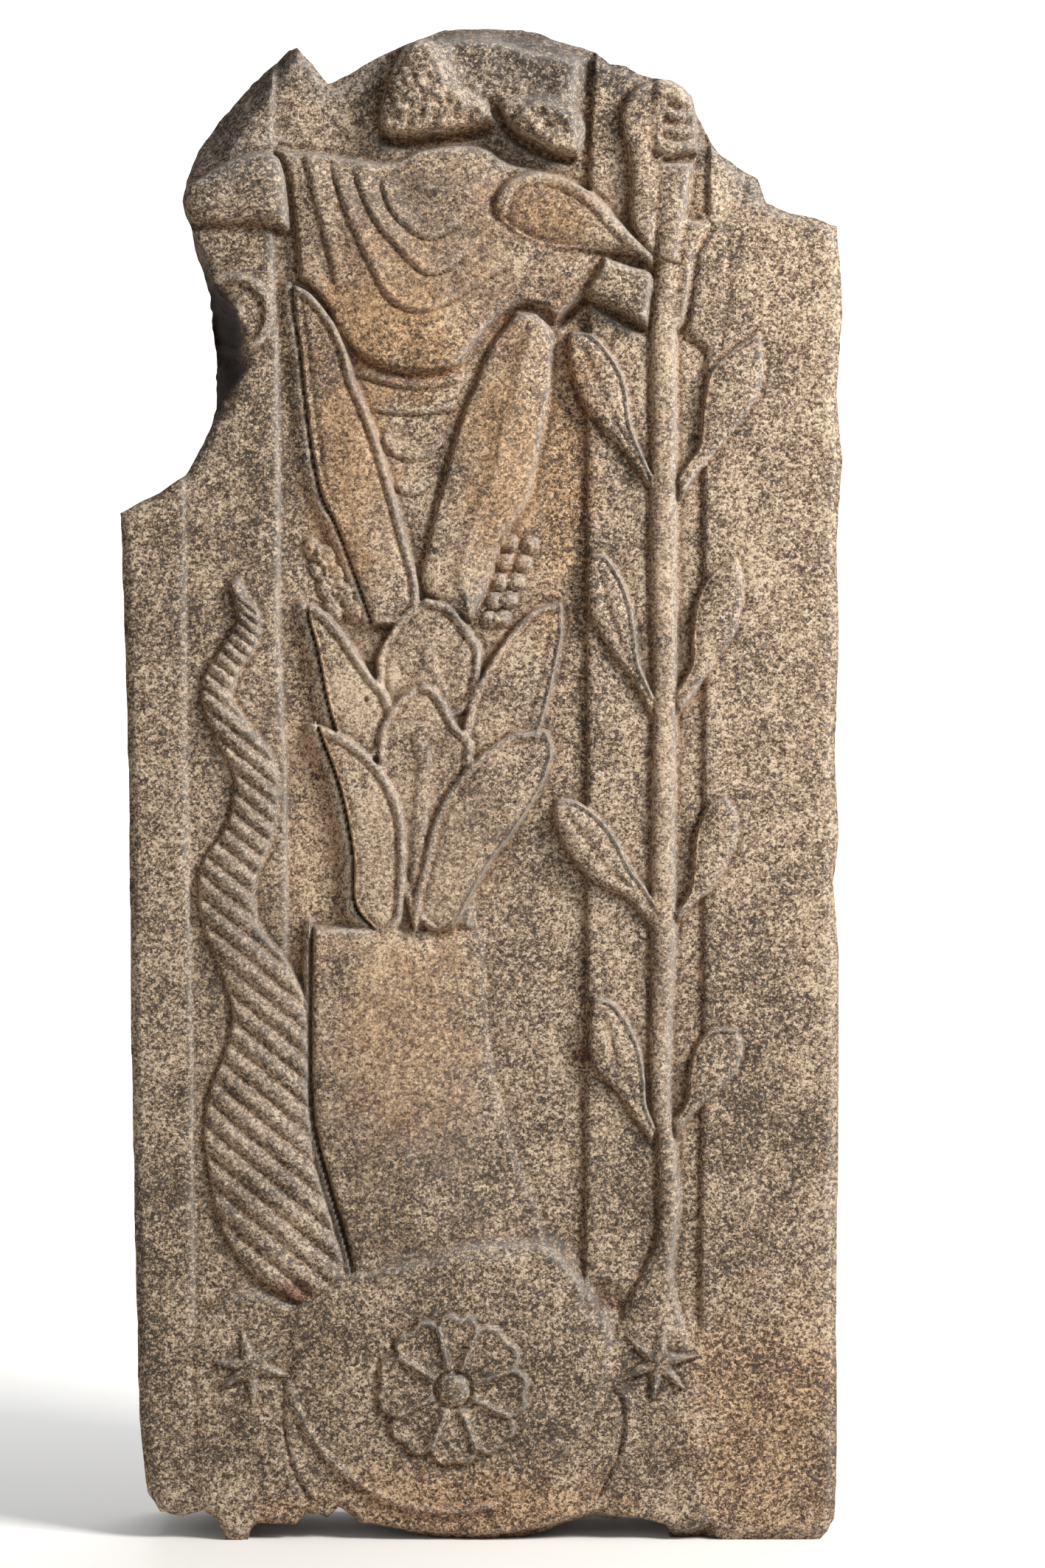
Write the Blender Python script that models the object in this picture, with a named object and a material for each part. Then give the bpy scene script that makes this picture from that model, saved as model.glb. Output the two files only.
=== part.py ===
"""Stone relief panel: one weathered slab, broken at the top left, with a figure in a stepped niche.

Metres, +Z up, front face towards -Y. The origin is under the middle of the slab's box.
"""
import math
from types import SimpleNamespace

import bmesh
import bpy
import numpy as np
from mathutils import Matrix, Vector, geometry

# Driving sizes of the slab, in metres.
PANEL_WIDTH = 0.880
PANEL_HEIGHT = 1.844
SLAB_DEPTH = 0.205              # from the flat back to the plain outer face

# Depths of the stepped niche, which is deeper at its right side, in metres.
BAND_DEPTH_LEFT = 0.006         # outer face to side band
BAND_DEPTH_RIGHT = 0.009
RECESS_DEPTH_LEFT = 0.008       # side band to middle recess
RECESS_DEPTH_RIGHT = 0.013
STEP_SLOPE = 0.004              # width of each step's sloping wall
ARRIS_WEAR = 0.007              # rounding of the worn outer edges

# Heights of the carving over the ground it stands on, in metres.
CLOAK_EDGE_RISE = 0.015
CLOAK_SWELL = 0.011             # further rise of the cloak's middle
CLOAK_SWELL_REACH = 0.090       # how far in from the cloak's edge it rises
FOLD_RISE = 0.0055
COLLAR_RISE = 0.004
TORSO_FOLD_RISE = 0.005
HUSK_RISE = 0.013
HUSK_CROWN = 0.0023
HUSK_RIDGE = 0.004
HUSK_FALL = 0.0065              # fall of the right husk beyond its ridge
KERNEL_RISE = 0.0075
TIER_GROUND_RISE = 0.011        # mass of stone behind the two tiers of leaves
UPPER_LEAF_RISE = 0.017
UPPER_CENTRE_LEAF_RISE = 0.0145
LOWER_LEAF_RISE = 0.023
LOWER_CENTRE_LEAF_RISE = 0.020
LEAF_CROWN = 0.003
LEAF_RIM_RISE = 0.0042
LEAF_RIB_RISE = 0.004
TRUNK_RISE = 0.022
TRUNK_FALL = 0.85               # share of its rise that the trunk loses towards the right
TRUNK_FOOT_FALL = 0.35          # and towards its foot
BLOCK_RISE = 0.002
BELLY_RISE = 0.012
BELLY_LINE_RISE = 0.0055
PETAL_RISE = 0.006
PETAL_HOLLOW = 0.0035
PETAL_RIDGE_RISE = 0.003
BUTTON_RISE = 0.014
HORN_EDGE_RISE = 0.0065
HORN_CROWN = 0.0065
HAIR_LEFT_RISE = 0.017
HAIR_RIGHT_RISE = 0.027
HAIR_SWELL = 0.012
HAIR_SWELL_REACH = 0.040
HAIR_FALL_REACH = 0.035         # how far the hair falls back into the scar above it
CURL_RISE = 0.005
HAIR_CURLS = 3.5
SCAR_RISE = 0.012
SCAR_EDGE = 0.020
ARM_STUB_RISE = 0.012
ARM_SWELL = 0.008
ARM_SWELL_REACH = 0.030
ELBOW_CROWN = 0.004
SLEEVE_RISE = 0.010
SLEEVE_CROWN = 0.003
FOREARM_RISE = 0.006
GRIP_RISE = 0.004
FIST_RISE = 0.010
LIMB_CROWN = 0.010              # roundness of the forearm and the fist
GRIP_CROWN = 0.008
FINGER_RISE = 0.005
BRANCH_LEAF_RISE = 0.009
BIG_LEAF_RISE = 0.001           # over the outer face
BIG_LEAF_CROWN = 0.010
STALK_RISE = 0.013
DISC_RISE = 0.006
DISC_HOLLOW = 0.004
DISC_BOSS_RISE = 0.008

# Sizes of the ornaments, in metres.
BELLY_RADIUS = 0.200
ROSETTE_RADIUS = 0.095
PETAL_NOTCH = 0.05              # share of the radius
PETAL_ROUNDING = 0.16           # share of the radius
BUTTON_RADIUS = 0.0215
PETAL_RIDGE_WIDTH = 0.0035
STAR_REACH = 0.050
STAR_ARM = 0.011
KERNEL_RADIUS = 0.0115
KERNEL_STRETCH = 1.45           # of the left cob's kernels, along the cob
KERNEL_SINK = 0.003             # groove around each kernel
LEAF_RIM_WIDTH = 0.014
LEAF_RIB_WIDTH = 0.018
SKIRT_SHARE = 0.8               # share of a form's rise that its sloping side reaches
HUSK_SKIRT = 0.022              # sloping side left of the left husk
LEAF_SKIRT = 0.024              # sloping side left of the two left leaves
TRUNK_SKIRT = 0.012
BIG_LEAF_BAND = 0.022           # sloping band along the upper side of the big leaf
FINGER_PITCH = 0.021
FINGER_PLACE = 0.40             # share of the fist's width where the fingers begin
DISC_RADIUS = 0.053
DISC_RIM = 0.012
DISC_BOSS_RADIUS = 0.016
HORN_RIBS = 33
RIB_RISE = 0.0065
RIB_SLOPE = 0.84                # fall of each rib towards the right
RIB_CROWDING = 0.75             # under 1, the ribs stand closer towards the tip
BREAK_REACH = 0.150             # how far a broken face runs out past the outline

# Walls and cut lines, in metres.
EDGE_WIDTH = 0.0070             # width of a form's wall, seen from the front
SOFT_EDGE = 0.010
WORN_EDGE = 0.014
LINE_DEPTH = 0.004
LINE_WIDTH = 0.005
LINE_FADE = 0.10                # share of a line's length over which each end fades
FOLD_WIDTH = 0.016
TORSO_FOLD_WIDTH = 0.012
CRESCENT_WIDTH = 0.010
UNDERCUT_DEPTH = 0.012
UNDERCUT_WIDTH = 0.006

# How finely the front is carved, and how many faces are kept of it.
CARVING_GRID = 0.0036
MERGE_DISTANCE = 1e-6
FRONT_FACES = 9400
SHARP_ANGLE = math.radians(40)

# The points below are drawn in millimetres on a panel of this width and height: x from its
# middle line, z from its foot. They keep their share of the panel when it is made larger.
DRAWN_WIDTH = 880.0
DRAWN_HEIGHT = 1844.0

# The outline, clockwise from the foot of the left side.
LEFT_SIDE = [(-408, 57), (-417, 147), (-422, 349), (-428, 673), (-429, 889), (-434, 1069),
             (-440, 1249)]
LEFT_BREAK = [(-418, 1263), (-390, 1277), (-361, 1296), (-352, 1314), (-335, 1348), (-325, 1375),
              (-327, 1447), (-332, 1506), (-345, 1548), (-352, 1566), (-356, 1591), (-365, 1626),
              (-361, 1654), (-348, 1690), (-321, 1726), (-290, 1762), (-260, 1792), (-236, 1814)]
TOP_BREAK = [(-223, 1818), (-201, 1796), (-185, 1773), (-160, 1787), (-120, 1809), (-79, 1827), (-48, 1838),
             (-12, 1844), (33, 1843), (65, 1836), (96, 1824), (143, 1811), (159, 1798), (177, 1795),
             (197, 1783), (233, 1777), (258, 1759), (267, 1731), (280, 1703), (294, 1686),
             (314, 1672), (338, 1657), (349, 1628), (372, 1618), (407, 1609), (434, 1598)]
RIGHT_SIDE = [(438, 1548), (440, 1492), (433, 1393), (440, 1312), (433, 1213), (436, 1105),
              (431, 952), (436, 853), (429, 799), (436, 709), (436, 547),
              (432, 259), (434, 124), (431, 25), (422, 7)]
FOOT = [(411, 0), (230, 0), (220, 14), (195, 21), (159, 17), (137, 22),
        (105, 13), (74, 4), (51, 0), (-57, 0), (-97, 7), (-147, 15),
        (-160, 27), (-173, 37), (-186, 25), (-212, 30), (-225, 17), (-271, 18),
        (-284, 0), (-310, 0), (-325, 25), (-338, 33), (-364, 25), (-392, 32)]

OUTLINE = LEFT_SIDE + LEFT_BREAK + TOP_BREAK + RIGHT_SIDE + FOOT

# Edges of the stepped niche, from top to bottom.
OUTER_LEFT = [(-361, 1303), (-358, 917), (-356, 817), (-351, 583), (-348, 112), (-346, -2)]
INNER_LEFT = [(-253, 1798), (-255, 1580), (-249, 1467), (-246, 1249), (-247, 1096), (-238, 942),
              (-237, 712), (-235, 259)]
INNER_RIGHT = [(140, 1825), (134, 1705), (132, 1609), (130, 1249), (130, 891), (128, 330),
               (128, 241)]
OUTER_RIGHT = [(278, 1708), (277, 1519), (271, 1292), (272, 1036), (271, 774), (272, 664),
               (268, 439), (268, 232)]

# Where the niche's ground rises back to the outer face: its foot and its full depth.
NICHE_FOOT = [(0, 232), (0, 286)]

# Lower block, which closes the niche under the horn, the belly and the stem.
BLOCK_LEFT = [(-348, -20), (-348, 115), (-350, 214), (-345, 268)]
BLOCK_TOP = [(-345, 268), (-291, 309), (-191, 295), (-48, 358), (76, 366), (112, 322),
             (134, 292), (156, 258), (172, 252), (227, 262), (256, 250)]
BLOCK_RIGHT = [(256, 250), (267, 223), (266, 169), (274, 120), (284, 88), (286, -20)]

# The draped figure.
CLOAK_LEFT = [(-256, 1694), (-242, 1668), (-233, 1618), (-226, 1569), (-224, 1533), (-213, 1526),
              (-192, 1501), (-172, 1462), (-151, 1441), (-125, 1426), (-93, 1418), (-57, 1418),
              (-26, 1428), (-4, 1454)]
CLOAK_RIGHT = [(-256, 1694), (-188, 1689), (-115, 1678), (-70, 1695), (-3, 1699), (33, 1679),
               (78, 1668), (132, 1643), (164, 1609), (166, 1569), (128, 1510), (106, 1492),
               (89, 1477), (80, 1494), (60, 1501), (37, 1494), (15, 1478), (-4, 1454)]
FOLDS = [
    [(-125, 1654), (-110, 1615), (-90, 1593), (-71, 1581), (-53, 1582), (-19, 1600)],
    [(-158, 1672), (-141, 1624), (-125, 1595), (-103, 1570), (-84, 1549), (-65, 1537), (-42, 1543),
     (3, 1574)],
    [(-186, 1685), (-174, 1640), (-158, 1595), (-135, 1547), (-119, 1515), (-100, 1498), (-78, 1492),
     (-51, 1497), (-12, 1519), (45, 1556)],
    [(-217, 1687), (-202, 1627), (-186, 1563), (-176, 1519)],
]
COLLAR = [(-84, 1647), (-48, 1640), (-12, 1645), (32, 1679)]
HAIR_LEFT_LOWER = [(-108, 1796), (-122, 1758), (-128, 1728), (-120, 1709), (-96, 1703), (-57, 1706),
                   (-12, 1714), (22, 1724)]
HAIR_LEFT_UPPER = [(-108, 1796), (-96, 1816), (-78, 1826), (-34, 1829), (-8, 1812), (10, 1780),
                   (26, 1752), (22, 1724)]
HEAD_SCAR_LOWER = [(-48, 1825), (-28, 1789), (-15, 1744), (24, 1733), (78, 1735), (120, 1735)]
HEAD_SCAR_UPPER = [(-48, 1825), (6, 1830), (60, 1823), (123, 1809), (129, 1780), (120, 1735)]
HAIR_RIGHT_LOWER = [(19, 1748), (26, 1728), (45, 1709), (75, 1692), (102, 1681), (119, 1684)]
HAIR_RIGHT_UPPER = [(19, 1748), (40, 1757), (78, 1758), (112, 1746), (128, 1716), (119, 1684)]

# The broken arm at the left, and the raised arm with its fist and leafy stalk at the right.
ARM_STUB_UPPER = [(-368, 1618), (-363, 1643), (-340, 1660), (-311, 1678), (-274, 1689), (-246, 1685),
                  (-235, 1659)]
ARM_STUB_LOWER = [(-368, 1618), (-357, 1598), (-318, 1596), (-273, 1598), (-235, 1589), (-230, 1609),
                  (-235, 1659)]
FOREARM_LEFT = [(188, 1766), (170, 1751), (166, 1722), (174, 1688), (179, 1654), (177, 1609),
                (188, 1578), (212, 1555)]
FOREARM_RIGHT = [(188, 1766), (214, 1760), (226, 1699), (220, 1645), (218, 1600), (212, 1555)]
FIST_LEFT = [(227, 1778), (208, 1769), (204, 1735), (206, 1695), (212, 1672)]
FIST_RIGHT = [(227, 1778), (249, 1769), (263, 1744), (266, 1717), (262, 1688), (238, 1676),
              (212, 1672)]
FIST_FOOT = [(206, 1690), (214, 1680), (238, 1676), (262, 1686)]
GRIP_LEFT = [(210, 1678), (212, 1645), (212, 1600), (208, 1551)]
GRIP_RIGHT = [(262, 1678), (256, 1645), (253, 1618), (246, 1582), (241, 1551)]
SLEEVE_LEFT = [(148, 1563), (135, 1537), (124, 1510), (164, 1490), (204, 1468)]
SLEEVE_RIGHT = [(148, 1563), (177, 1553), (210, 1539), (208, 1501), (204, 1468)]
ELBOW_LEFT = [(245, 1609), (241, 1555), (239, 1501), (238, 1460)]
ELBOW_RIGHT = [(245, 1609), (285, 1594), (269, 1569), (263, 1519), (249, 1483), (238, 1460)]

# Deep undercuts below the sleeve and below the two masses of hair.
UNDERCUTS = [
    [(88, 1474), (108, 1492), (126, 1510), (164, 1490), (203, 1468)],
    [(-128, 1722), (-118, 1705), (-96, 1699), (-57, 1702), (-12, 1710), (16, 1720)],
    [(20, 1742), (24, 1728), (40, 1708), (68, 1692), (101, 1680), (118, 1685)],
]

# The stalk, and its leaves as pairs of edges from tip to foot.
STALK_LEFT = [(210, 1560), (204, 1465), (205, 1339), (203, 1195), (207, 1038), (205, 925),
              (204, 749), (203, 619), (204, 531), (211, 493), (213, 421), (210, 367),
              (192, 322), (170, 276), (160, 236)]
STALK_RIGHT = [(241, 1560), (239, 1465), (240, 1339), (240, 1195), (240, 1038), (238, 925),
               (239, 749), (234, 619), (233, 531), (238, 484), (244, 412), (238, 358),
               (236, 318), (246, 272), (256, 236)]
BIG_LEAF = ([(12, 1621), (24, 1599), (46, 1583), (78, 1570), (132, 1565), (177, 1559),
             (212, 1543)],
            [(12, 1621), (19, 1643), (38, 1660), (68, 1667), (104, 1660), (140, 1638),
             (174, 1602), (212, 1562)])
LEFT_LEAVES = [
    ([(106, 1471), (104, 1447), (110, 1413), (123, 1379), (145, 1351), (169, 1327), (208, 1271)],
     [(106, 1471), (132, 1469), (158, 1444), (177, 1407), (184, 1359), (195, 1327), (213, 1290)]),
    ([(130, 1200), (126, 1173), (130, 1124), (143, 1102), (161, 1073), (180, 1048), (208, 997)],
     [(130, 1200), (152, 1198), (173, 1168), (186, 1128), (192, 1079), (198, 1056), (213, 1024)]),
    ([(89, 902), (87, 876), (101, 840), (120, 814), (143, 794), (173, 781),
      (206, 743)],
     [(89, 902), (116, 900), (143, 882), (166, 853), (184, 817), (201, 795),
      (217, 769)]),
    ([(135, 662), (130, 633), (132, 579), (146, 561), (165, 541), (184, 512),
      (208, 479)],
     [(135, 662), (158, 657), (179, 633), (195, 597), (201, 561), (203, 531),
      (215, 500)]),
]
RIGHT_LEAVES = [
    ([(338, 1471), (303, 1447), (276, 1418), (266, 1366), (263, 1331), (250, 1312), (236, 1290)],
     [(338, 1471), (345, 1436), (342, 1403), (328, 1373), (299, 1335), (263, 1292),
      (240, 1256)]),
    ([(310, 1195), (287, 1183), (269, 1164), (258, 1137), (254, 1096), (253, 1065), (233, 1029)],
     [(310, 1195), (320, 1168), (318, 1132), (309, 1098), (290, 1072), (266, 1035),
      (238, 997)]),
    ([(297, 905), (276, 896), (263, 873), (256, 844), (254, 804), (249, 786),
      (233, 763)],
     [(297, 905), (312, 885), (312, 850), (299, 817), (278, 787), (258, 769),
      (238, 747)]),
    ([(312, 624), (278, 623), (258, 599), (250, 565), (248, 538), (238, 520),
      (230, 511)],
     [(312, 624), (320, 597), (310, 567), (289, 544), (269, 526), (251, 506),
      (237, 482)]),
]

# Husks, cobs and the two tiers of leaves under the cloak, each as a left and a right edge.
LEFT_HUSK = ([(-230, 1530), (-230, 1501), (-222, 1447), (-216, 1389), (-207, 1321), (-195, 1267),
              (-177, 1231), (-151, 1162), (-133, 1110)],
             [(-230, 1530), (-205, 1517), (-178, 1483), (-161, 1447), (-152, 1411), (-133, 1368),
              (-116, 1317), (-102, 1267), (-87, 1213), (-73, 1154), (-84, 1114), (-133, 1110)])
RIGHT_HUSK = ([(42, 1498), (10, 1456), (-8, 1413), (-25, 1372), (-37, 1334), (-48, 1294),
               (-60, 1249), (-69, 1207), (-73, 1154), (-12, 1114)],
              [(42, 1498), (69, 1494), (89, 1470), (90, 1425), (84, 1375), (74, 1330),
               (62, 1267), (33, 1222), (11, 1159), (-12, 1114)])

# Columns of kernels: middle of the top one, middle of the lowest one, how many.
LEFT_KERNELS = [((-206, 1206), (-180, 1132), 4), ((-189, 1196), (-158, 1130), 4)]
RIGHT_KERNELS = [((35, 1213), (10, 1119), 5), ((59, 1211), (26, 1121), 5)]

# Folds of the robe between the husks.
TORSO_BANDS = [
    [(-157, 1418), (-107, 1404), (-66, 1402), (-16, 1412)],
    [(-140, 1375), (-102, 1370), (-52, 1371), (-28, 1377)],
    [(-127, 1348), (-112, 1323), (-87, 1313), (-61, 1319), (-42, 1341)],
    [(-109, 1285), (-94, 1272), (-77, 1272), (-61, 1285)],
]

# The mass behind the two tiers of leaves, and the leaves from back to front.
TIER_GROUND_LEFT = [(-75, 1120), (-112, 1070), (-150, 1010), (-140, 950), (-128, 860), (-130, 735)]
TIER_GROUND_RIGHT = [(-75, 1120), (-25, 1070), (0, 1010), (0, 950), (-8, 860), (-2, 735)]
CENTRE_LEAF_UPPER = ([(-68, 1148), (-97, 1127), (-118, 1098), (-130, 1065), (-120, 1010),
                      (-60, 985)],
                     [(-68, 1148), (-37, 1138), (-12, 1107), (3, 1076), (-10, 1015), (-60, 985)])
LEFT_LEAF_UPPER = ([(-212, 1141), (-211, 1119), (-202, 1087), (-194, 1047), (-184, 1002),
                    (-160, 930)],
                   [(-212, 1141), (-194, 1134), (-168, 1107), (-145, 1074), (-127, 1048),
                    (-109, 1024), (-104, 970), (-160, 930)])
RIGHT_LEAF_UPPER = ([(99, 1143), (62, 1133), (37, 1109), (14, 1078), (-4, 1047), (-19, 1011),
                     (-26, 960), (-10, 915)],
                    [(99, 1143), (102, 1114), (97, 1078), (89, 1042), (76, 993), (50, 940),
                     (-10, 915)])
CENTRE_LEAF_LOWER = ([(-68, 1043), (-93, 1032), (-114, 1008), (-127, 970), (-120, 871),
                      (-80, 730)],
                     [(-68, 1043), (-50, 1032), (-28, 993), (-8, 961), (-30, 862), (-80, 730)])
LEFT_LEAF_LOWER = ([(-201, 995), (-194, 972), (-177, 927), (-165, 879), (-157, 828),
                    (-154, 770), (-120, 730)],
                   [(-201, 995), (-165, 979), (-133, 954), (-109, 923), (-94, 885),
                    (-89, 841), (-91, 790), (-96, 750), (-120, 730)])
RIGHT_LEAF_LOWER = ([(80, 986), (42, 983), (6, 963), (-28, 930), (-50, 898),
                     (-64, 862), (-74, 817), (-84, 765), (-55, 730)],
                    [(80, 986), (89, 961), (80, 925), (60, 888), (40, 858),
                     (14, 824), (-12, 779), (-30, 745), (-55, 730)])
TRUNK = ([(-207, 749), (-209, 709), (-210, 619), (-209, 538), (-201, 484), (-187, 432),
          (-172, 381), (-159, 329), (-152, 285)],
         [(5, 745), (8, 682), (10, 628), (19, 570), (33, 509), (50, 453), (68, 408), (80, 365), (88, 325)])
BELLY_CENTRE = (-37, 237)
BELLY_TOP = [(-201, 327), (-157, 333), (-111, 341), (-30, 355), (42, 358), (73, 368), (105, 349),
             (135, 312)]
CRESCENTS = [
    [(-238, 203), (-238, 144), (-232, 106), (-221, 75), (-202, 43)],
    [(156, 189), (172, 169), (173, 133), (164, 94), (138, 43)],
]
ROSETTE_CENTRE = (-34, 186)
PETAL_LINES = [103, 68, 18, -25, -68, -110, -155, 148]
# Stars: middle, angles of the arms in degrees, rise in metres.
STARS = [
    ((214, 218), [141, 78, 9, -46, -97, -153], 0.009),
    ((-279, 212), [105, 172, 216, 273, -14, 32], 0.0065),
]

# The pit at the stem's foot: middle, radius and depth, both in metres.
PIT = ((147, 292), 0.026, 0.007)


# The ribbed horn between the outer face and the figure.
HORN_LEFT = [(-311, 1165), (-302, 1139), (-300, 1114), (-317, 1086), (-336, 1056), (-342, 1023),
             (-328, 979), (-307, 943), (-302, 914), (-312, 868), (-337, 832), (-346, 799),
             (-341, 750), (-321, 698), (-305, 646), (-312, 597), (-330, 553), (-338, 500),
             (-332, 443), (-318, 381), (-289, 331), (-246, 298), (-222, 288)]
HORN_RIGHT = [(-311, 1165), (-292, 1171), (-280, 1148), (-266, 1125), (-270, 1089), (-291, 1054),
              (-301, 1024), (-286, 1001), (-259, 966), (-245, 934), (-246, 876), (-260, 831),
              (-273, 790), (-266, 745), (-237, 709), (-214, 664), (-209, 610), (-207, 529),
              (-201, 466), (-185, 408), (-168, 349), (-160, 318)]
DISC_CENTRE = (-302, 1490)

# The line where each broken face leaves the old surface, with the break on its right.
UPPER_LEFT_BREAK = [(-214, 1825), (-224, 1805), (-241, 1778), (-256, 1757), (-277, 1731), (-311, 1679),
                    (-352, 1649), (-372, 1636)]
UPPER_BREAK = [(186, 1796), (143, 1807), (98, 1813), (77, 1822), (30, 1820), (12, 1831), (-27, 1828),
               (-58, 1822), (-84, 1823)]
SIDE_HOLLOW = [(-364, 1602), (-352, 1587),
               (-340, 1575), (-328, 1537), (-318, 1512), (-300, 1500), (-287, 1467),
               (-279, 1429), (-291, 1411), (-315, 1388), (-330, 1363),
               (-345, 1336)]
CORNER_BREAK = [(411, 1612), (372, 1607), (343, 1606), (287, 1593), (276, 1663), (267, 1708), (263, 1744)]
UNDERSIDE_BREAK = [(-166, 8), (-146, 22), (-84, 13), (-3, 7), (65, 17), (145, 40),
                   (192, 27), (246, 14), (281, 24), (290, -6)]

# Broken faces: line, fall for each metre outwards, deepest fall in metres.
BREAK_FACES = [
    (UPPER_LEFT_BREAK, 1.3, 0.080),
    (UPPER_BREAK, 1.2, 0.018),
    (SIDE_HOLLOW, 2.6, 0.090),
    (CORNER_BREAK, 0.35, 0.020),
    (UNDERSIDE_BREAK, 1.2, 0.030),
]


def drawn(points):
    """Points of the drawing, in metres at the panel's real width and height."""
    across = PANEL_WIDTH / DRAWN_WIDTH
    up = PANEL_HEIGHT / DRAWN_HEIGHT
    return np.asarray(points, float) * (across, up)


def eased(share):
    """0 to 1 with a soft start and end."""
    share = np.clip(share, 0.0, 1.0)
    return share * share * (3.0 - 2.0 * share)


def through(points, steps=5):
    """A smooth curve through the drawn points, which keeps its ends."""
    knots = drawn(points)
    padded = np.vstack([2 * knots[0] - knots[1], knots, 2 * knots[-1] - knots[-2]])
    curve = [knots[0]]
    for a, b, c, d in zip(padded, padded[1:], padded[2:], padded[3:]):
        for step in range(1, steps + 1):
            t = step / steps
            curve.append(0.5 * (2 * b + (c - a) * t + (2 * a - 5 * b + 4 * c - d) * t ** 2
                                + (3 * b - 3 * c + d - a) * t ** 3))
    return np.array(curve)


def to_curve(x, z, curve):
    """Distance to a curve, share of its length, and side (positive on its left)."""
    nearest = np.full(x.shape, np.inf)
    share = np.zeros(x.shape)
    side = np.ones(x.shape)
    spans = np.linalg.norm(np.diff(curve, axis=0), axis=1)
    starts = np.concatenate([[0.0], np.cumsum(spans)])
    for (ax, az), (bx, bz), span, start in zip(curve, curve[1:], spans, starts):
        if span == 0.0:
            continue
        ux, uz = (bx - ax) / span, (bz - az) / span
        along = np.clip((x - ax) * ux + (z - az) * uz, 0.0, span)
        off_x, off_z = x - ax - along * ux, z - az - along * uz
        distance = np.hypot(off_x, off_z)
        closer = distance < nearest
        nearest[closer] = distance[closer]
        share[closer] = ((start + along) / starts[-1])[closer]
        side[closer] = np.where(ux * off_z - uz * off_x >= 0.0, 1.0, -1.0)[closer]
    return nearest, share, side


def inside(x, z, outline):
    """Which points lie within a closed outline."""
    within = np.zeros(x.shape, bool)
    for (ax, az), (bx, bz) in zip(outline, np.roll(outline, -1, axis=0)):
        if az == bz:
            continue
        crosses = (az > z) != (bz > z)
        within ^= crosses & (x < (bx - ax) * (z - az) / (bz - az) + ax)
    return within


def bar(distance, width):
    """Height of a half-round bar of this width, beside the edge that the distance is taken from."""
    return np.sqrt(np.clip(1.0 - (2.0 * distance / width - 1.0) ** 2, 0.0, 1.0))


def soft_line(distance, width):
    """1 on a line, falling softly to 0 beside it."""
    return np.exp(-(distance / width) ** 2)


class Relief:
    """Heights over the outer face at a set of points of the front."""

    def __init__(self, x, z):
        self.x, self.z = x, z
        self.height = np.zeros(x.shape)
        self.band = np.zeros(x.shape)
        self.floor = np.zeros(x.shape)

    def near(self, curve, margin):
        low, high = curve.min(axis=0) - margin, curve.max(axis=0) + margin
        return np.flatnonzero((self.x > low[0]) & (self.x < high[0])
                              & (self.z > low[1]) & (self.z < high[1]))

    def form(self, left, right, level, ground=None, edge=EDGE_WIDTH, crown=0.0, left_rim=0.0,
             right_rim=0.0, skirt=0.0, open_foot=False, detail=None):
        """A raised form between a left and a right edge, both drawn from its tip to its foot."""
        left, right = through(left), through(right)
        outline = np.vstack([left, right[::-1]])
        picked = self.near(outline, skirt)
        at = SimpleNamespace(x=self.x[picked], z=self.z[picked])
        at.to_left, along_left, side = to_curve(at.x, at.z, left)
        at.to_right, along_right, _ = to_curve(at.x, at.z, right)
        at.across = at.to_left / np.maximum(at.to_left + at.to_right, MERGE_DISTANCE)
        at.along = along_left * (1.0 - at.across) + along_right * at.across
        at.border = np.minimum(at.to_left, at.to_right)
        for end in ((0,) if open_foot else (0, -1)):
            cap = np.vstack([left[end], right[end]])
            if np.ptp(cap, axis=0).any():
                at.border = np.minimum(at.border, to_curve(at.x, at.z, cap)[0])
        base = 0.0 if ground is None else ground[picked]
        top = base + level + crown * 4.0 * at.across * (1.0 - at.across)
        for width, distance in ((left_rim, at.to_left), (right_rim, at.to_right)):
            if width:
                top = top + LEAF_RIM_RISE * bar(distance, width)
        if detail is not None:
            top = top + detail(at)
        here = self.height[picked]
        if skirt:
            slope = eased(1.0 - at.to_left / skirt) * (side < 0.0) * (at.to_right > at.to_left)
            here = here + np.maximum(base + SKIRT_SHARE * level - here, 0.0) * slope
        if open_foot:
            top = np.maximum(top, here)
        cover = np.where(inside(at.x, at.z, outline), eased(at.border / edge), 0.0)
        self.height[picked] = here * (1.0 - cover) + top * cover

    def groove(self, points, depth=LINE_DEPTH, width=LINE_WIDTH, lip=0.0, lip_width=FOLD_WIDTH):
        """A cut along a curve, with an optional lip on its left that dies away."""
        curve = through(points)
        picked = self.near(curve, 3.0 * max(width, lip_width))
        distance, share, side = to_curve(self.x[picked], self.z[picked], curve)
        ends = eased(share / LINE_FADE) * eased((1.0 - share) / LINE_FADE)
        raised = np.where(side > 0.0, lip * soft_line(distance, lip_width), 0.0)
        self.height[picked] += (raised - depth * soft_line(distance, width)) * ends

    def dome(self, centre, reach, rise, stretch=1.0, turn=0.0):
        """A round or oval swelling, or a pit where its rise is below zero."""
        picked = self.near(np.array([centre]), reach * max(stretch, 1.0))
        dx, dz = self.x[picked] - centre[0], self.z[picked] - centre[1]
        along = (dx * math.cos(turn) + dz * math.sin(turn)) / (reach * stretch)
        across = (dz * math.cos(turn) - dx * math.sin(turn)) / reach
        self.height[picked] += rise * np.sqrt(np.clip(1.0 - along ** 2 - across ** 2, 0.0, 1.0))

    def break_face(self, points, slope, limit):
        """A broken face that falls back from a line to the outline on its right."""
        line = drawn(points)
        run = line[-1] - line[0]
        outwards = np.array([run[1], -run[0]]) / np.linalg.norm(run) * BREAK_REACH
        region = np.vstack([line, line[-1] + outwards, line[0] + outwards])
        picked = np.flatnonzero(inside(self.x, self.z, region))
        distance, _, _ = to_curve(self.x[picked], self.z[picked], line)
        self.height[picked] -= np.minimum(distance * slope, limit)


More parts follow.
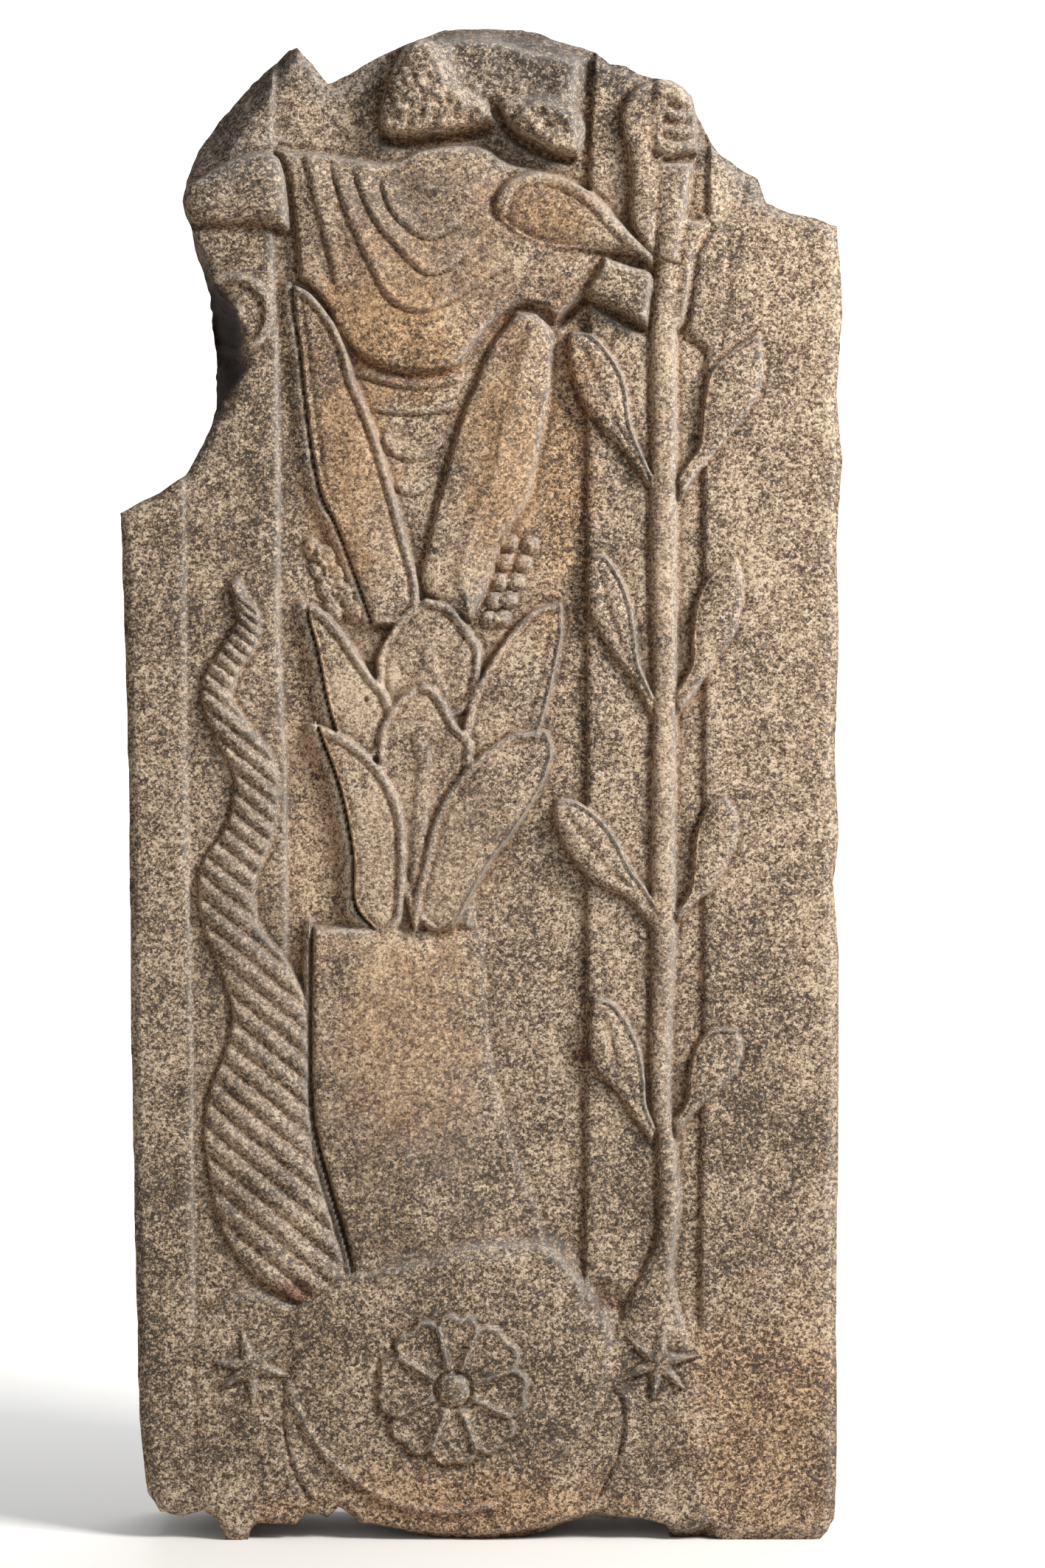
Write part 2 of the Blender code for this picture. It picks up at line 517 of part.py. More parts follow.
def niche(relief):
    """The outer face, the side bands and the middle recess."""
    x, z = relief.x, relief.z

    def edge_at(points):
        line = drawn(points)[::-1]
        return np.interp(z, line[:, 1], line[:, 0])

    foot_z, head_z = drawn(NICHE_FOOT)[:, 1]
    fade = eased((z - foot_z) / (head_z - foot_z))
    outer_left, outer_right = edge_at(OUTER_LEFT), edge_at(OUTER_RIGHT)
    share = np.clip((x - outer_left) / (outer_right - outer_left), 0.0, 1.0)
    relief.band = -BAND_DEPTH_LEFT - (BAND_DEPTH_RIGHT - BAND_DEPTH_LEFT) * share
    recess = RECESS_DEPTH_LEFT + (RECESS_DEPTH_RIGHT - RECESS_DEPTH_LEFT) * share
    relief.floor = relief.band - recess
    outer = eased((x - outer_left) / STEP_SLOPE) * eased((outer_right - x) / STEP_SLOPE)
    inner = eased((x - edge_at(INNER_LEFT)) / STEP_SLOPE) * eased((edge_at(INNER_RIGHT) - x) / STEP_SLOPE)
    relief.height += (relief.band * outer - recess * inner) * fade


def lower_block(relief):
    relief.form(BLOCK_LEFT + BLOCK_TOP[1:], BLOCK_RIGHT[::-1], BLOCK_RISE, edge=WORN_EDGE)


def cloak(relief):
    def body(at):
        return CLOAK_SWELL * eased(at.border / CLOAK_SWELL_REACH)

    relief.form(CLOAK_LEFT, CLOAK_RIGHT, CLOAK_EDGE_RISE, relief.floor, edge=SOFT_EDGE, detail=body)
    for fold in FOLDS:
        relief.groove(fold, lip=FOLD_RISE)
    relief.groove(COLLAR, depth=-COLLAR_RISE, width=2.0 * LINE_WIDTH)


def husks(relief):
    def ridged(at):
        ridge = HUSK_RIDGE * soft_line(at.across - 0.55, 0.08)
        return (ridge - HUSK_FALL * eased((at.across - 0.6) / 0.4)) * eased(at.along / 0.15)

    for band in TORSO_BANDS:
        relief.groove(band, lip=TORSO_FOLD_RISE, lip_width=TORSO_FOLD_WIDTH)
    relief.form(*LEFT_HUSK, HUSK_RISE, relief.floor, crown=HUSK_CROWN, right_rim=LEAF_RIM_WIDTH,
                skirt=HUSK_SKIRT)
    relief.form(*RIGHT_HUSK, HUSK_RISE, relief.floor, crown=HUSK_CROWN, edge=SOFT_EDGE,
                detail=ridged)
    for top, foot, count in LEFT_KERNELS:
        cob(relief, top, foot, count, KERNEL_STRETCH)
    for top, foot, count in RIGHT_KERNELS:
        cob(relief, top, foot, count, 1.0)


def cob(relief, top, foot, count, stretch):
    """One column of kernels, evenly spaced and each ringed by its own groove."""
    top, foot = drawn([top, foot])
    turn = math.atan2(foot[1] - top[1], foot[0] - top[0])
    for row in range(count):
        centre = top + (foot - top) * row / (count - 1)
        relief.dome(centre, 1.25 * KERNEL_RADIUS, -KERNEL_SINK, stretch, turn)
        relief.dome(centre, KERNEL_RADIUS, KERNEL_RISE + KERNEL_SINK, stretch, turn)


def leaf_tiers(relief):
    floor = relief.floor

    def ribbed(at):
        rib = np.sqrt(np.clip(1.0 - ((at.to_left - at.to_right) / LEAF_RIB_WIDTH) ** 2, 0.0, 1.0))
        return LEAF_RIB_RISE * rib * eased((at.along - 0.12) / 0.15)

    relief.form(TIER_GROUND_LEFT, TIER_GROUND_RIGHT, TIER_GROUND_RISE, floor, edge=WORN_EDGE)
    relief.form(*CENTRE_LEAF_UPPER, UPPER_CENTRE_LEAF_RISE, floor, left_rim=LEAF_RIM_WIDTH,
                right_rim=LEAF_RIM_WIDTH, detail=ribbed)
    relief.form(*LEFT_LEAF_UPPER, UPPER_LEAF_RISE, floor, right_rim=LEAF_RIM_WIDTH, skirt=LEAF_SKIRT)
    relief.form(*RIGHT_LEAF_UPPER, UPPER_LEAF_RISE, floor, left_rim=LEAF_RIM_WIDTH)
    relief.form(*CENTRE_LEAF_LOWER, LOWER_CENTRE_LEAF_RISE, floor, left_rim=LEAF_RIM_WIDTH,
                right_rim=LEAF_RIM_WIDTH, detail=ribbed)
    relief.form(*LEFT_LEAF_LOWER, LOWER_LEAF_RISE, floor, right_rim=LEAF_RIM_WIDTH, skirt=LEAF_SKIRT)
    relief.form(*RIGHT_LEAF_LOWER, LOWER_LEAF_RISE, floor, crown=LEAF_CROWN, left_rim=LEAF_RIM_WIDTH)


def trunk(relief):
    def rounded(at):
        right = 1.0 - TRUNK_FALL * eased((at.across - 0.3) / 0.7)
        foot = 1.0 - TRUNK_FOOT_FALL * eased((at.along - 0.6) / 0.4)
        return TRUNK_RISE * (right * foot - 1.0)

    relief.form(*TRUNK, TRUNK_RISE, relief.floor, edge=SOFT_EDGE, skirt=TRUNK_SKIRT,
                detail=rounded)


def arc(centre, radius, start, end, steps=9):
    """Drawn points along an arc between two angles in degrees."""
    turns = np.radians(np.linspace(start, end, steps))
    size = radius / PANEL_HEIGHT * DRAWN_HEIGHT
    return [(centre[0] + size * math.cos(turn), centre[1] + size * math.sin(turn))
            for turn in turns]


def belly(relief):
    """The round belly with the raised line around its foot and a crescent at each side."""
    centre = drawn([BELLY_CENTRE])[0]
    foot = arc(BELLY_CENTRE, BELLY_RADIUS, 270, 270, steps=1)

    def domed(at):
        reach = np.hypot(at.x - centre[0], at.z - centre[1]) / (1.05 * BELLY_RADIUS)
        return BELLY_RISE * np.sqrt(np.clip(1.0 - reach ** 2, 0.0, 1.0))

    left = BELLY_TOP[:1] + arc(BELLY_CENTRE, BELLY_RADIUS, 160, 258) + foot
    right = BELLY_TOP + arc(BELLY_CENTRE, BELLY_RADIUS, 12, -78) + foot
    relief.form(left, right, BLOCK_RISE, edge=WORN_EDGE, detail=domed)
    relief.groove(BELLY_TOP, depth=-0.5 * BELLY_LINE_RISE, width=1.2 * LINE_WIDTH)
    relief.groove(arc(BELLY_CENTRE, BELLY_RADIUS, 188, 292), depth=-BELLY_LINE_RISE,
                  width=2.0 * LINE_WIDTH)
    for crescent in CRESCENTS:
        relief.groove(crescent, depth=1.4 * LINE_DEPTH, lip=0.5 * BELLY_LINE_RISE,
                      lip_width=CRESCENT_WIDTH)


def rosette(relief):
    """Eight petals with notched ends, thin ridges between them, and a button."""
    centre = drawn([ROSETTE_CENTRE])[0]
    picked = relief.near(np.array([centre]), 1.3 * ROSETTE_RADIUS)
    dx, dz = relief.x[picked] - centre[0], relief.z[picked] - centre[1]
    reach = np.hypot(dx, dz)
    turn = np.degrees(np.arctan2(dz, dx))
    lines = np.sort(np.array(PETAL_LINES, float))
    starts = np.searchsorted(lines, turn) - 1
    low = lines[starts]
    spread = np.mod(np.roll(lines, -1)[starts] - low, 360.0)
    share = np.mod(turn - low, 360.0) / spread
    across = 2.0 * share - 1.0
    notch = np.where(np.abs(across) < 0.5, PETAL_NOTCH * np.cos(np.pi * across) ** 2, 0.0)
    end = ROSETTE_RADIUS * (1.0 - PETAL_ROUNDING * np.abs(across) ** 4 - notch)
    to_line = np.radians(np.minimum(share, 1.0 - share) * spread) * reach
    petal = eased((end - reach) / EDGE_WIDTH)
    hollow = eased((end - reach - EDGE_WIDTH) / SOFT_EDGE) * eased(to_line / SOFT_EDGE)
    ridge = soft_line(to_line, PETAL_RIDGE_WIDTH)
    around = eased((reach - BUTTON_RADIUS) / EDGE_WIDTH)
    shape = PETAL_RISE - PETAL_HOLLOW * hollow + PETAL_RIDGE_RISE * ridge
    relief.height[picked] += around * petal * shape
    relief.dome(centre, BUTTON_RADIUS, BUTTON_RISE)


def star(relief, centre, turns, rise):
    """A flower of ridged pointed arms."""
    middle = drawn([centre])[0]
    picked = relief.near(np.array([middle]), 1.3 * STAR_REACH)
    dx, dz = relief.x[picked] - middle[0], relief.z[picked] - middle[1]
    top = np.zeros(dx.shape)
    for turn in np.radians(turns):
        along = dx * np.cos(turn) + dz * np.sin(turn)
        across = np.abs(dz * np.cos(turn) - dx * np.sin(turn))
        half = STAR_ARM * np.clip(1.0 - along / STAR_REACH, 0.0, 1.0) ** 0.9 + MERGE_DISTANCE
        arm = np.clip(1.0 - across / half, 0.0, 1.0) * (along > 0.0)
        top = np.maximum(top, arm)
    relief.height[picked] += rise * np.where(top > 0.0, 0.4 + 0.6 * top, 0.0)


def horn(relief):
    tip, foot = drawn([HORN_LEFT[0], HORN_RIGHT[-1]])

    def ribs(at):
        down = (tip[1] - at.z - RIB_SLOPE * (at.x - tip[0])) / (tip[1] - foot[1])
        phase = HORN_RIBS * np.clip(down, 0.0, None) ** RIB_CROWDING
        return RIB_RISE * (np.abs(np.sin(np.pi * phase)) - 0.6) * eased(at.along / 0.06)

    relief.form(HORN_LEFT, HORN_RIGHT, HORN_EDGE_RISE - BAND_DEPTH_LEFT, crown=HORN_CROWN,
                detail=ribs)


def broken_disc(relief):
    centre = drawn([DISC_CENTRE])[0]
    reach = np.hypot(relief.x - centre[0], relief.z - centre[1])
    relief.height += DISC_RISE * eased((DISC_RADIUS - reach) / EDGE_WIDTH)
    relief.height -= DISC_HOLLOW * eased((DISC_RADIUS - DISC_RIM - reach) / EDGE_WIDTH)
    relief.height += DISC_BOSS_RISE * eased((DISC_BOSS_RADIUS - reach) / SOFT_EDGE)


def stalk_and_leaves(relief):
    def veined(at):
        vein = LINE_DEPTH * soft_line(at.across - 0.45, 0.07)
        return -vein * eased(at.along / 0.15) * (1.0 - eased((at.along - 0.7) / 0.2))

    def round_bar(at):
        return STALK_RISE * np.sqrt(np.clip(1.0 - (2.0 * at.across - 1.0) ** 2, 0.0, 1.0))

    for left, right in LEFT_LEAVES:
        relief.form(left, right, BRANCH_LEAF_RISE, relief.band, crown=LEAF_CROWN, detail=veined)
    for left, right in RIGHT_LEAVES:
        relief.form(left, right, BLOCK_RISE, crown=LEAF_CROWN)
    relief.form(STALK_LEFT, STALK_RIGHT, 0.0, relief.band, open_foot=True, detail=round_bar)


def head_and_hair(relief):
    def lumpy(at):
        swell = HAIR_SWELL * eased(at.to_left / HAIR_SWELL_REACH)
        fall = (HAIR_LEFT_RISE + swell - SCAR_RISE) * (1.0 - eased(at.to_right / HAIR_FALL_REACH))
        return swell - fall

    def curled(at):
        curls = CURL_RISE * np.abs(np.sin(HAIR_CURLS * np.pi * (at.along + 0.5 * at.across)))
        fall = (HAIR_RIGHT_RISE - SCAR_RISE) * (1.0 - eased(at.to_right / HAIR_FALL_REACH))
        return curls * eased(at.border / WORN_EDGE) - fall

    band = relief.band
    relief.form(HEAD_SCAR_LOWER, HEAD_SCAR_UPPER, SCAR_RISE, band, edge=SCAR_EDGE)
    relief.form(HAIR_LEFT_LOWER, HAIR_LEFT_UPPER, HAIR_LEFT_RISE, band, edge=SOFT_EDGE,
                detail=lumpy)
    relief.form(HAIR_RIGHT_LOWER, HAIR_RIGHT_UPPER, HAIR_RIGHT_RISE, band, edge=EDGE_WIDTH,
                detail=curled)


def arms(relief):
    def block(at):
        return ARM_SWELL * eased(at.border / ARM_SWELL_REACH)

    def fingers(at):
        foot = drawn([FIST_LEFT[-1]])[0][1]
        wave = np.abs(np.sin(np.pi * (at.z - foot) / FINGER_PITCH))
        return FINGER_RISE * (wave - 1.0) * eased((at.across - FINGER_PLACE) / 0.15)

    relief.form(ARM_STUB_UPPER, ARM_STUB_LOWER, ARM_STUB_RISE, edge=SOFT_EDGE, detail=block)
    relief.form(ELBOW_LEFT, ELBOW_RIGHT, 0.0, edge=SOFT_EDGE, crown=ELBOW_CROWN)
    relief.form(SLEEVE_LEFT, SLEEVE_RIGHT, SLEEVE_RISE, edge=SOFT_EDGE, crown=SLEEVE_CROWN)
    relief.form(FOREARM_LEFT, FOREARM_RIGHT, FOREARM_RISE, edge=SOFT_EDGE, crown=LIMB_CROWN)
    relief.form(GRIP_LEFT, GRIP_RIGHT, GRIP_RISE, edge=SOFT_EDGE, crown=GRIP_CROWN)
    relief.form(FIST_LEFT, FIST_RIGHT, FIST_RISE, edge=WORN_EDGE, crown=LIMB_CROWN,
                detail=fingers)
    relief.groove(FIST_FOOT, depth=1.5 * LINE_DEPTH)
    relief.form(*BIG_LEAF, BIG_LEAF_RISE, edge=SOFT_EDGE, crown=BIG_LEAF_CROWN, right_rim=BIG_LEAF_BAND)
    for line in UNDERCUTS:
        relief.groove(line, depth=UNDERCUT_DEPTH, width=UNDERCUT_WIDTH)


def pit(relief):
    """The pit at the stem's foot."""
    centre, reach, depth = PIT
    relief.dome(drawn([centre])[0], reach, -depth)


def wear(relief):
    """Broken faces, and the rounding of every outer edge."""
    for line, slope, limit in BREAK_FACES:
        relief.break_face(line, slope, limit)
    distance, _, _ = to_curve(relief.x, relief.z, drawn(OUTLINE + OUTLINE[:1]))
    relief.height -= ARRIS_WEAR * (1.0 - eased(distance / (2.0 * ARRIS_WEAR)))


def carve(x, z):
    """The whole relief, from the ground of the niche up to the broken faces."""
    relief = Relief(x, z)
    niche(relief)
    cloak(relief)
    husks(relief)
    leaf_tiers(relief)
    trunk(relief)
    lower_block(relief)
    belly(relief)
    rosette(relief)
    horn(relief)
    for centre, turns, rise in STARS:
        star(relief, centre, turns, rise)
    broken_disc(relief)
    stalk_and_leaves(relief)
    head_and_hair(relief)
    arms(relief)
    pit(relief)
    wear(relief)
    return relief.height


def closed_outline():
    """The slab's outline, with points no further apart than the carving grid."""
    corners = drawn(OUTLINE)
    points = []
    for start, end in zip(corners, np.roll(corners, -1, axis=0)):
        parts = int(np.ceil(np.linalg.norm(end - start) / CARVING_GRID))
        points.extend(start + (end - start) * part / parts for part in range(parts))
    return np.array(points)


def front_points(outline):
    """A staggered grid of points within the outline, clear of its edge."""
    low, high = outline.min(axis=0), outline.max(axis=0)
    rows = []
    for row, z in enumerate(np.arange(low[1] + CARVING_GRID / 2, high[1], CARVING_GRID)):
        x = np.arange(low[0] + CARVING_GRID / 2 * (1 + row % 2), high[0], CARVING_GRID)
        rows.append(np.column_stack([x, np.full(x.shape, z)]))
    points = np.vstack(rows)
    points = points[inside(points[:, 0], points[:, 1], outline)]
    to_edge, _, _ = to_curve(points[:, 0], points[:, 1], drawn(OUTLINE + OUTLINE[:1]))
    return points[to_edge > 0.4 * CARVING_GRID]


def carved_slab(name):
    """The closed slab: carved front, straight sides and a flat back."""
    outline = closed_outline()
    plan = np.vstack([outline, front_points(outline)])
    rim = list(range(len(outline)))
    triangles = geometry.delaunay_2d_cdt(
        [Vector(point) for point in plan], [], [rim], 1, MERGE_DISTANCE)[2]
    height = carve(plan[:, 0], plan[:, 1])
    front = [(x, -rise, z) for (x, z), rise in zip(plan, height)]
    back = [(x, SLAB_DEPTH, z) for x, z in outline]
    behind = len(front)
    faces = [tuple(triangle) for triangle in triangles]
    for here, after in zip(rim, rim[1:] + rim[:1]):
        faces.append((here, behind + here, behind + after, after))
    faces.append(tuple(behind + index for index in rim))
    mesh = bpy.data.meshes.new(name)
    mesh.from_pydata(front + back, [], faces)
    return mesh


def facing_out(mesh):
    """The same mesh with every face pointing out of the stone."""
    shell = bmesh.new()
    shell.from_mesh(mesh)
    bmesh.ops.recalc_face_normals(shell, faces=shell.faces)
    shell.to_mesh(mesh)
    shell.free()


def merged(panel):
    """The panel's mesh with its flat stretches merged into large triangles."""
    merge = panel.modifiers.new("merge_flats", "DECIMATE")
    merge.ratio = FRONT_FACES / len(panel.data.polygons)
    shapes = bpy.context.evaluated_depsgraph_get()
    mesh = bpy.data.meshes.new_from_object(panel.evaluated_get(shapes))
    panel.modifiers.remove(merge)
    return mesh


def stood_on_origin(mesh):
    """Moves the mesh so that the middle of the underside of its box is the origin."""
    points = np.array([vertex.co for vertex in mesh.vertices])
    low, high = points.min(axis=0), points.max(axis=0)
    foot = Vector(((low[0] + high[0]) / 2, (low[1] + high[1]) / 2, low[2]))
    mesh.transform(Matrix.Translation(-foot))


def stone():
    material = bpy.data.materials.new("weathered_stone")
    material.use_nodes = True
    surface = material.node_tree.nodes["Principled BSDF"]
    surface.inputs["Base Color"].default_value = (0.36, 0.27, 0.19, 1.0)
    surface.inputs["Roughness"].default_value = 0.9
    surface.inputs["Metallic"].default_value = 0.0
    return material


def main():
    for item in list(bpy.data.objects):
        bpy.data.objects.remove(item, do_unlink=True)
    panel = bpy.data.objects.new("relief_panel", carved_slab("relief_panel"))
    bpy.context.scene.collection.objects.link(panel)
    facing_out(panel.data)
    panel.data = merged(panel)
    stood_on_origin(panel.data)
    panel.data.materials.append(stone())
    panel.data.shade_smooth()
    panel.data.set_sharp_from_angle(angle=SHARP_ANGLE)


main()
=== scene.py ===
"""The looks of the stone relief panel: a broken slab with a figure in a stepped niche."""
import math
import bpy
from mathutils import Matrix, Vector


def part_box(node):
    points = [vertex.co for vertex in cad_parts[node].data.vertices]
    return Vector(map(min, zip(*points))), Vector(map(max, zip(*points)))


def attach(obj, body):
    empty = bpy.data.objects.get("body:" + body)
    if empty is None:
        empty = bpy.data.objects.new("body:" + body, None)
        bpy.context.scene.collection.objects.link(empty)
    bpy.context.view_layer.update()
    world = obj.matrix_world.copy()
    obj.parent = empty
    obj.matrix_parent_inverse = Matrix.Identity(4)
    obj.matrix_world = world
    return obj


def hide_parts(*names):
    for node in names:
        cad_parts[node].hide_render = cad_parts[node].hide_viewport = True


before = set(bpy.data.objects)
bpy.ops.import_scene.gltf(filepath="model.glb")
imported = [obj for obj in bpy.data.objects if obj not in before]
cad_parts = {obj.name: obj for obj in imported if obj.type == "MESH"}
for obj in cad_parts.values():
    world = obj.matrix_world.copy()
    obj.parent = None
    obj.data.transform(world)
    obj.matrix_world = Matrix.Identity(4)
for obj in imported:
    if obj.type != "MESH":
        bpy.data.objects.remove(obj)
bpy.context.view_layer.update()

from types import SimpleNamespace

import bpy
import numpy as np
from mathutils import Vector, geometry

# The slab's box, from the frame, in metres.
LOW, HIGH = (np.array(corner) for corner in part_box("relief_panel"))
PANEL_WIDTH = HIGH[0] - LOW[0]
PANEL_HEIGHT = HIGH[2] - LOW[2]
BACK_Y = HIGH[1]
SLAB_DEPTH = 0.205          # from the flat back to the plain outer face
FACE_Y = BACK_Y - SLAB_DEPTH

# Depths of the stepped niche, which is deeper at its right side, in metres.
BAND_DEPTH_LEFT = 0.006         # outer face to side band
BAND_DEPTH_RIGHT = 0.009
RECESS_DEPTH_LEFT = 0.008       # side band to middle recess
RECESS_DEPTH_RIGHT = 0.013
STEP_SLOPE = 0.0026             # width of each step's sloping wall
ARRIS_WEAR = 0.007              # rounding of the worn outer edges

# Heights of the carving over the ground it stands on, in metres.
CLOAK_EDGE_RISE = 0.015
CLOAK_SWELL = 0.011             # further rise of the cloak's middle
CLOAK_SWELL_REACH = 0.090       # how far in from the cloak's edge it rises
FOLD_RISE = 0.0055
COLLAR_RISE = 0.004
TORSO_FOLD_RISE = 0.005
HUSK_RISE = 0.013
HUSK_CROWN = 0.0023
HUSK_RIDGE = 0.004
HUSK_FALL = 0.0065              # fall of the right husk beyond its ridge
KERNEL_RISE = 0.0075
TIER_GROUND_RISE = 0.011        # mass of stone behind the two tiers of leaves
UPPER_LEAF_RISE = 0.017
UPPER_CENTRE_LEAF_RISE = 0.0145
LOWER_LEAF_RISE = 0.023
LOWER_CENTRE_LEAF_RISE = 0.020
LEAF_CROWN = 0.003
LEAF_RIM_RISE = 0.0042
LEAF_RIB_RISE = 0.004
TRUNK_RISE = 0.022
TRUNK_FALL = 0.85               # share of its rise that the trunk loses towards the right
TRUNK_FOOT_FALL = 0.35          # and towards its foot
BLOCK_RISE = 0.002
BELLY_RISE = 0.012
BELLY_LINE_RISE = 0.008
PETAL_RISE = 0.0075
PETAL_HOLLOW = 0.0035
PETAL_RIDGE_RISE = 0.0038
BUTTON_RISE = 0.014
HORN_EDGE_RISE = 0.0065
HORN_CROWN = 0.0065
HAIR_LEFT_RISE = 0.017
HAIR_RIGHT_RISE = 0.027
HAIR_SWELL = 0.012
HAIR_SWELL_REACH = 0.040
HAIR_FALL_REACH = 0.022         # how far the hair falls back into the scar above it
CURL_RISE = 0.0038
CURL_RADIUS = 0.0085
CURL_SPACING = 0.0135
CURL_STRAY = 0.003              # how far each curl stands out of its row
CURL_STRETCH = 1.35
CURL_SEED = 5
SCAR_RISE = 0.012
SCAR_EDGE = 0.020
ARM_STUB_RISE = 0.012
ARM_SWELL = 0.008
ARM_SWELL_REACH = 0.030
ELBOW_CROWN = 0.002
SLEEVE_RISE = 0.010
SLEEVE_CROWN = 0.003
FOREARM_RISE = 0.006
GRIP_RISE = 0.004
FIST_RISE = 0.010
FOREARM_CROWN = 0.006
FIST_CROWN = 0.008
GRIP_CROWN = 0.006
FINGER_LINE_DEPTH = 0.006
BRANCH_LEAF_RISE = 0.009
OUTER_LEAF_RISE = 0.0035       # right of the stalk, over the outer face
BIG_LEAF_RISE = 0.001           # over the outer face
BIG_LEAF_CROWN = 0.010
STALK_RISE = 0.013
DISC_RISE = 0.009
DISC_HOLLOW = 0.006
DISC_BOSS_RISE = 0.008

# Sizes of the ornaments, in metres.
BELLY_RADIUS = 0.200
ROSETTE_RADIUS = 0.095
PETAL_NOTCH = 0.05              # share of the radius
PETAL_ROUNDING = 0.16           # share of the radius
BUTTON_RADIUS = 0.0215
PETAL_RIDGE_WIDTH = 0.0026
ORNAMENT_MARGIN = 1.3           # of the ground worked out around a rosette or a star
STAR_REACH = 0.050
STAR_ARM = 0.011
KERNEL_RADIUS = 0.0115
KERNEL_STRETCH = 1.45           # of the left cob's kernels, along the cob
KERNEL_SINK = 0.003             # groove around each kernel
NARROW_RIM = 0.007
WIDE_RIM = 0.013
LEAF_RIB_WIDTH = 0.018
SKIRT_SHARE = 0.8               # share of a form's rise that its sloping side reaches
HUSK_SKIRT = 0.022              # sloping side left of the left husk
LEAF_SKIRT = 0.024              # sloping side left of the two left leaves
TRUNK_SKIRT = 0.012
BIG_LEAF_BAND = 0.022           # sloping band along the upper side of the big leaf
FINGER_LINE_WIDTH = 0.0048
DISC_RADIUS = 0.053
DISC_RIM = 0.012
DISC_BOSS_RADIUS = 0.016
HORN_RIBS = 33
RIB_RISE = 0.0065
RIB_SLOPE = 0.84                # fall of each rib towards the right
RIB_CROWDING = 0.75             # under 1, the ribs stand closer towards the tip
BREAK_REACH = 0.150             # how far a broken face runs out past the outline

# Walls and cut lines, in metres.
EDGE_WIDTH = 0.0045             # width of a form's wall, seen from the front
SOFT_EDGE = 0.008
WORN_EDGE = 0.014
MOAT_DEPTH = 0.0023             # cut line around each form
MOAT_WIDTH = 0.0035
LINE_DEPTH = 0.0028
LINE_WIDTH = 0.003
WIDE_LINE_WIDTH = 2.0 * LINE_WIDTH
STEP_LINE_DEPTH = 0.6 * LINE_DEPTH      # along the niche's edges
RIM_LINE_DEPTH = 0.8 * LINE_DEPTH       # inside a leaf's rim
CRESCENT_DEPTH = 1.4 * LINE_DEPTH
FIST_FOOT_DEPTH = 1.5 * LINE_DEPTH
LINE_FADE = 0.10                # share of a line's length over which each end fades
FOLD_WIDTH = 0.016
TORSO_FOLD_WIDTH = 0.012
CRESCENT_WIDTH = 0.010
UNDERCUT_DEPTH = 0.012
UNDERCUT_WIDTH = 0.005
LINE_SPAN = 3.0                 # a soft line is worked out to this many widths

# Where the details of a form lie, as shares of its width from the left and of its length from
# the tip. INSET values are metres from its edge.
TIP_SHARE = 0.15                # length over which a rib, line or vein begins
HUSK_RIDGE_PLACE = 0.55
HUSK_RIDGE_SPREAD = 0.08
HUSK_FALL_PLACE = 0.6
HUSK_LINE_INSET = 0.011
HUSK_LINE_TIP = 0.1
HUSK_LINE_END = 0.55
LEAF_RIB_TIP = 0.12
LEAF_FOLD_INSET = 0.020
TRUNK_FALL_PLACE = 0.3
TRUNK_FOOT_PLACE = 0.6
VEIN_PLACE = 0.45
VEIN_SPREAD = 0.07
VEIN_END = 0.7
VEIN_FADE = 0.2
RIB_TIP = 0.06
RIB_MIDDLE = 0.6                # height between two ribs that the horn's surface passes through
KERNEL_RING = 1.25              # of the groove around a kernel, as a share of the kernel
BELLY_REACH = 1.05              # of the belly's swelling, as a share of its radius
STAR_TAPER = 0.9                # under 1, the arms stay wide for longer
STAR_EDGE = 0.4                 # height of an arm's edge as a share of its ridge, and of its cut
STAR_HEART = 0.01               # radius without cuts, in metres

# How finely the stone is made, in metres and in faces.
GRID = 0.0021
OUTLINE_STEP = 0.004
WALL_ROWS = 18
BACK_GRID = 0.012
STONE_FACES = 190_000
MERGE_DISTANCE = 1e-6
OFF_STONE_HEIGHT = -0.02     # of the grid beyond the outline

# Wear of the stone, in metres.
UNDULATION = 0.0014          # broad unevenness of the worn face
UNDULATION_SIZE = 0.045
FRETTING = 0.0009            # finer unevenness
FRETTING_SIZE = 0.009
CRUST_SIZES = (0.020, 0.008)  # lumps of the rough patches
CRUST_SHARES = (0.5, 0.5)
CHIP_SIZES = (0.009, 0.030)
CHIP_SHARES = (0.25, 0.25)
CHIP_DEPTH = 0.0012          # along the dressed sides
BREAK_CHIP_DEPTH = 0.003     # along the broken edges
SIDE_HOLLOW_DEPTH = 0.004    # dressed sides, behind the front edge
BREAK_HOLLOW_DEPTH = 0.014   # broken sides, behind the front edge
HOLLOW_SIZES = (0.050, 0.021)
BACK_HOLLOW_DEPTH = 0.004
BACK_HOLLOW_SIZES = (0.090, 0.030)
BREAK_CLEAR = 0.010          # from a broken edge, fully rough up to here
BREAK_FADE = 0.040           # and softly less over this
WEATHER_DEPTH = 0.0012
WEATHER_SIZE = 0.018
ROUGH_DEPTH = 0.005
ROUGH_SIZE = 0.012
WEATHER_SEED = 7.0
FOOT_CONTACT = 0.012         # height over the floor below which the wear dies away
RIM_SMOOTHING = 2            # outline points on each side that a rim's height is taken over
WALL_BEND = 0.040            # depth over which the sides' hollows begin behind the front edge

# Seeds of the noises, so that every run gives the same stone.
UNDULATION_SEED = 1
FRETTING_SEED = 2
CHIP_SEEDS = (3, 4)
CRUST_SEEDS = (5, 6)
HOLLOW_SEEDS = (11, 12)
BACK_HOLLOW_SEEDS = (21, 22)
PATCH_SEEDS = (31, 32)

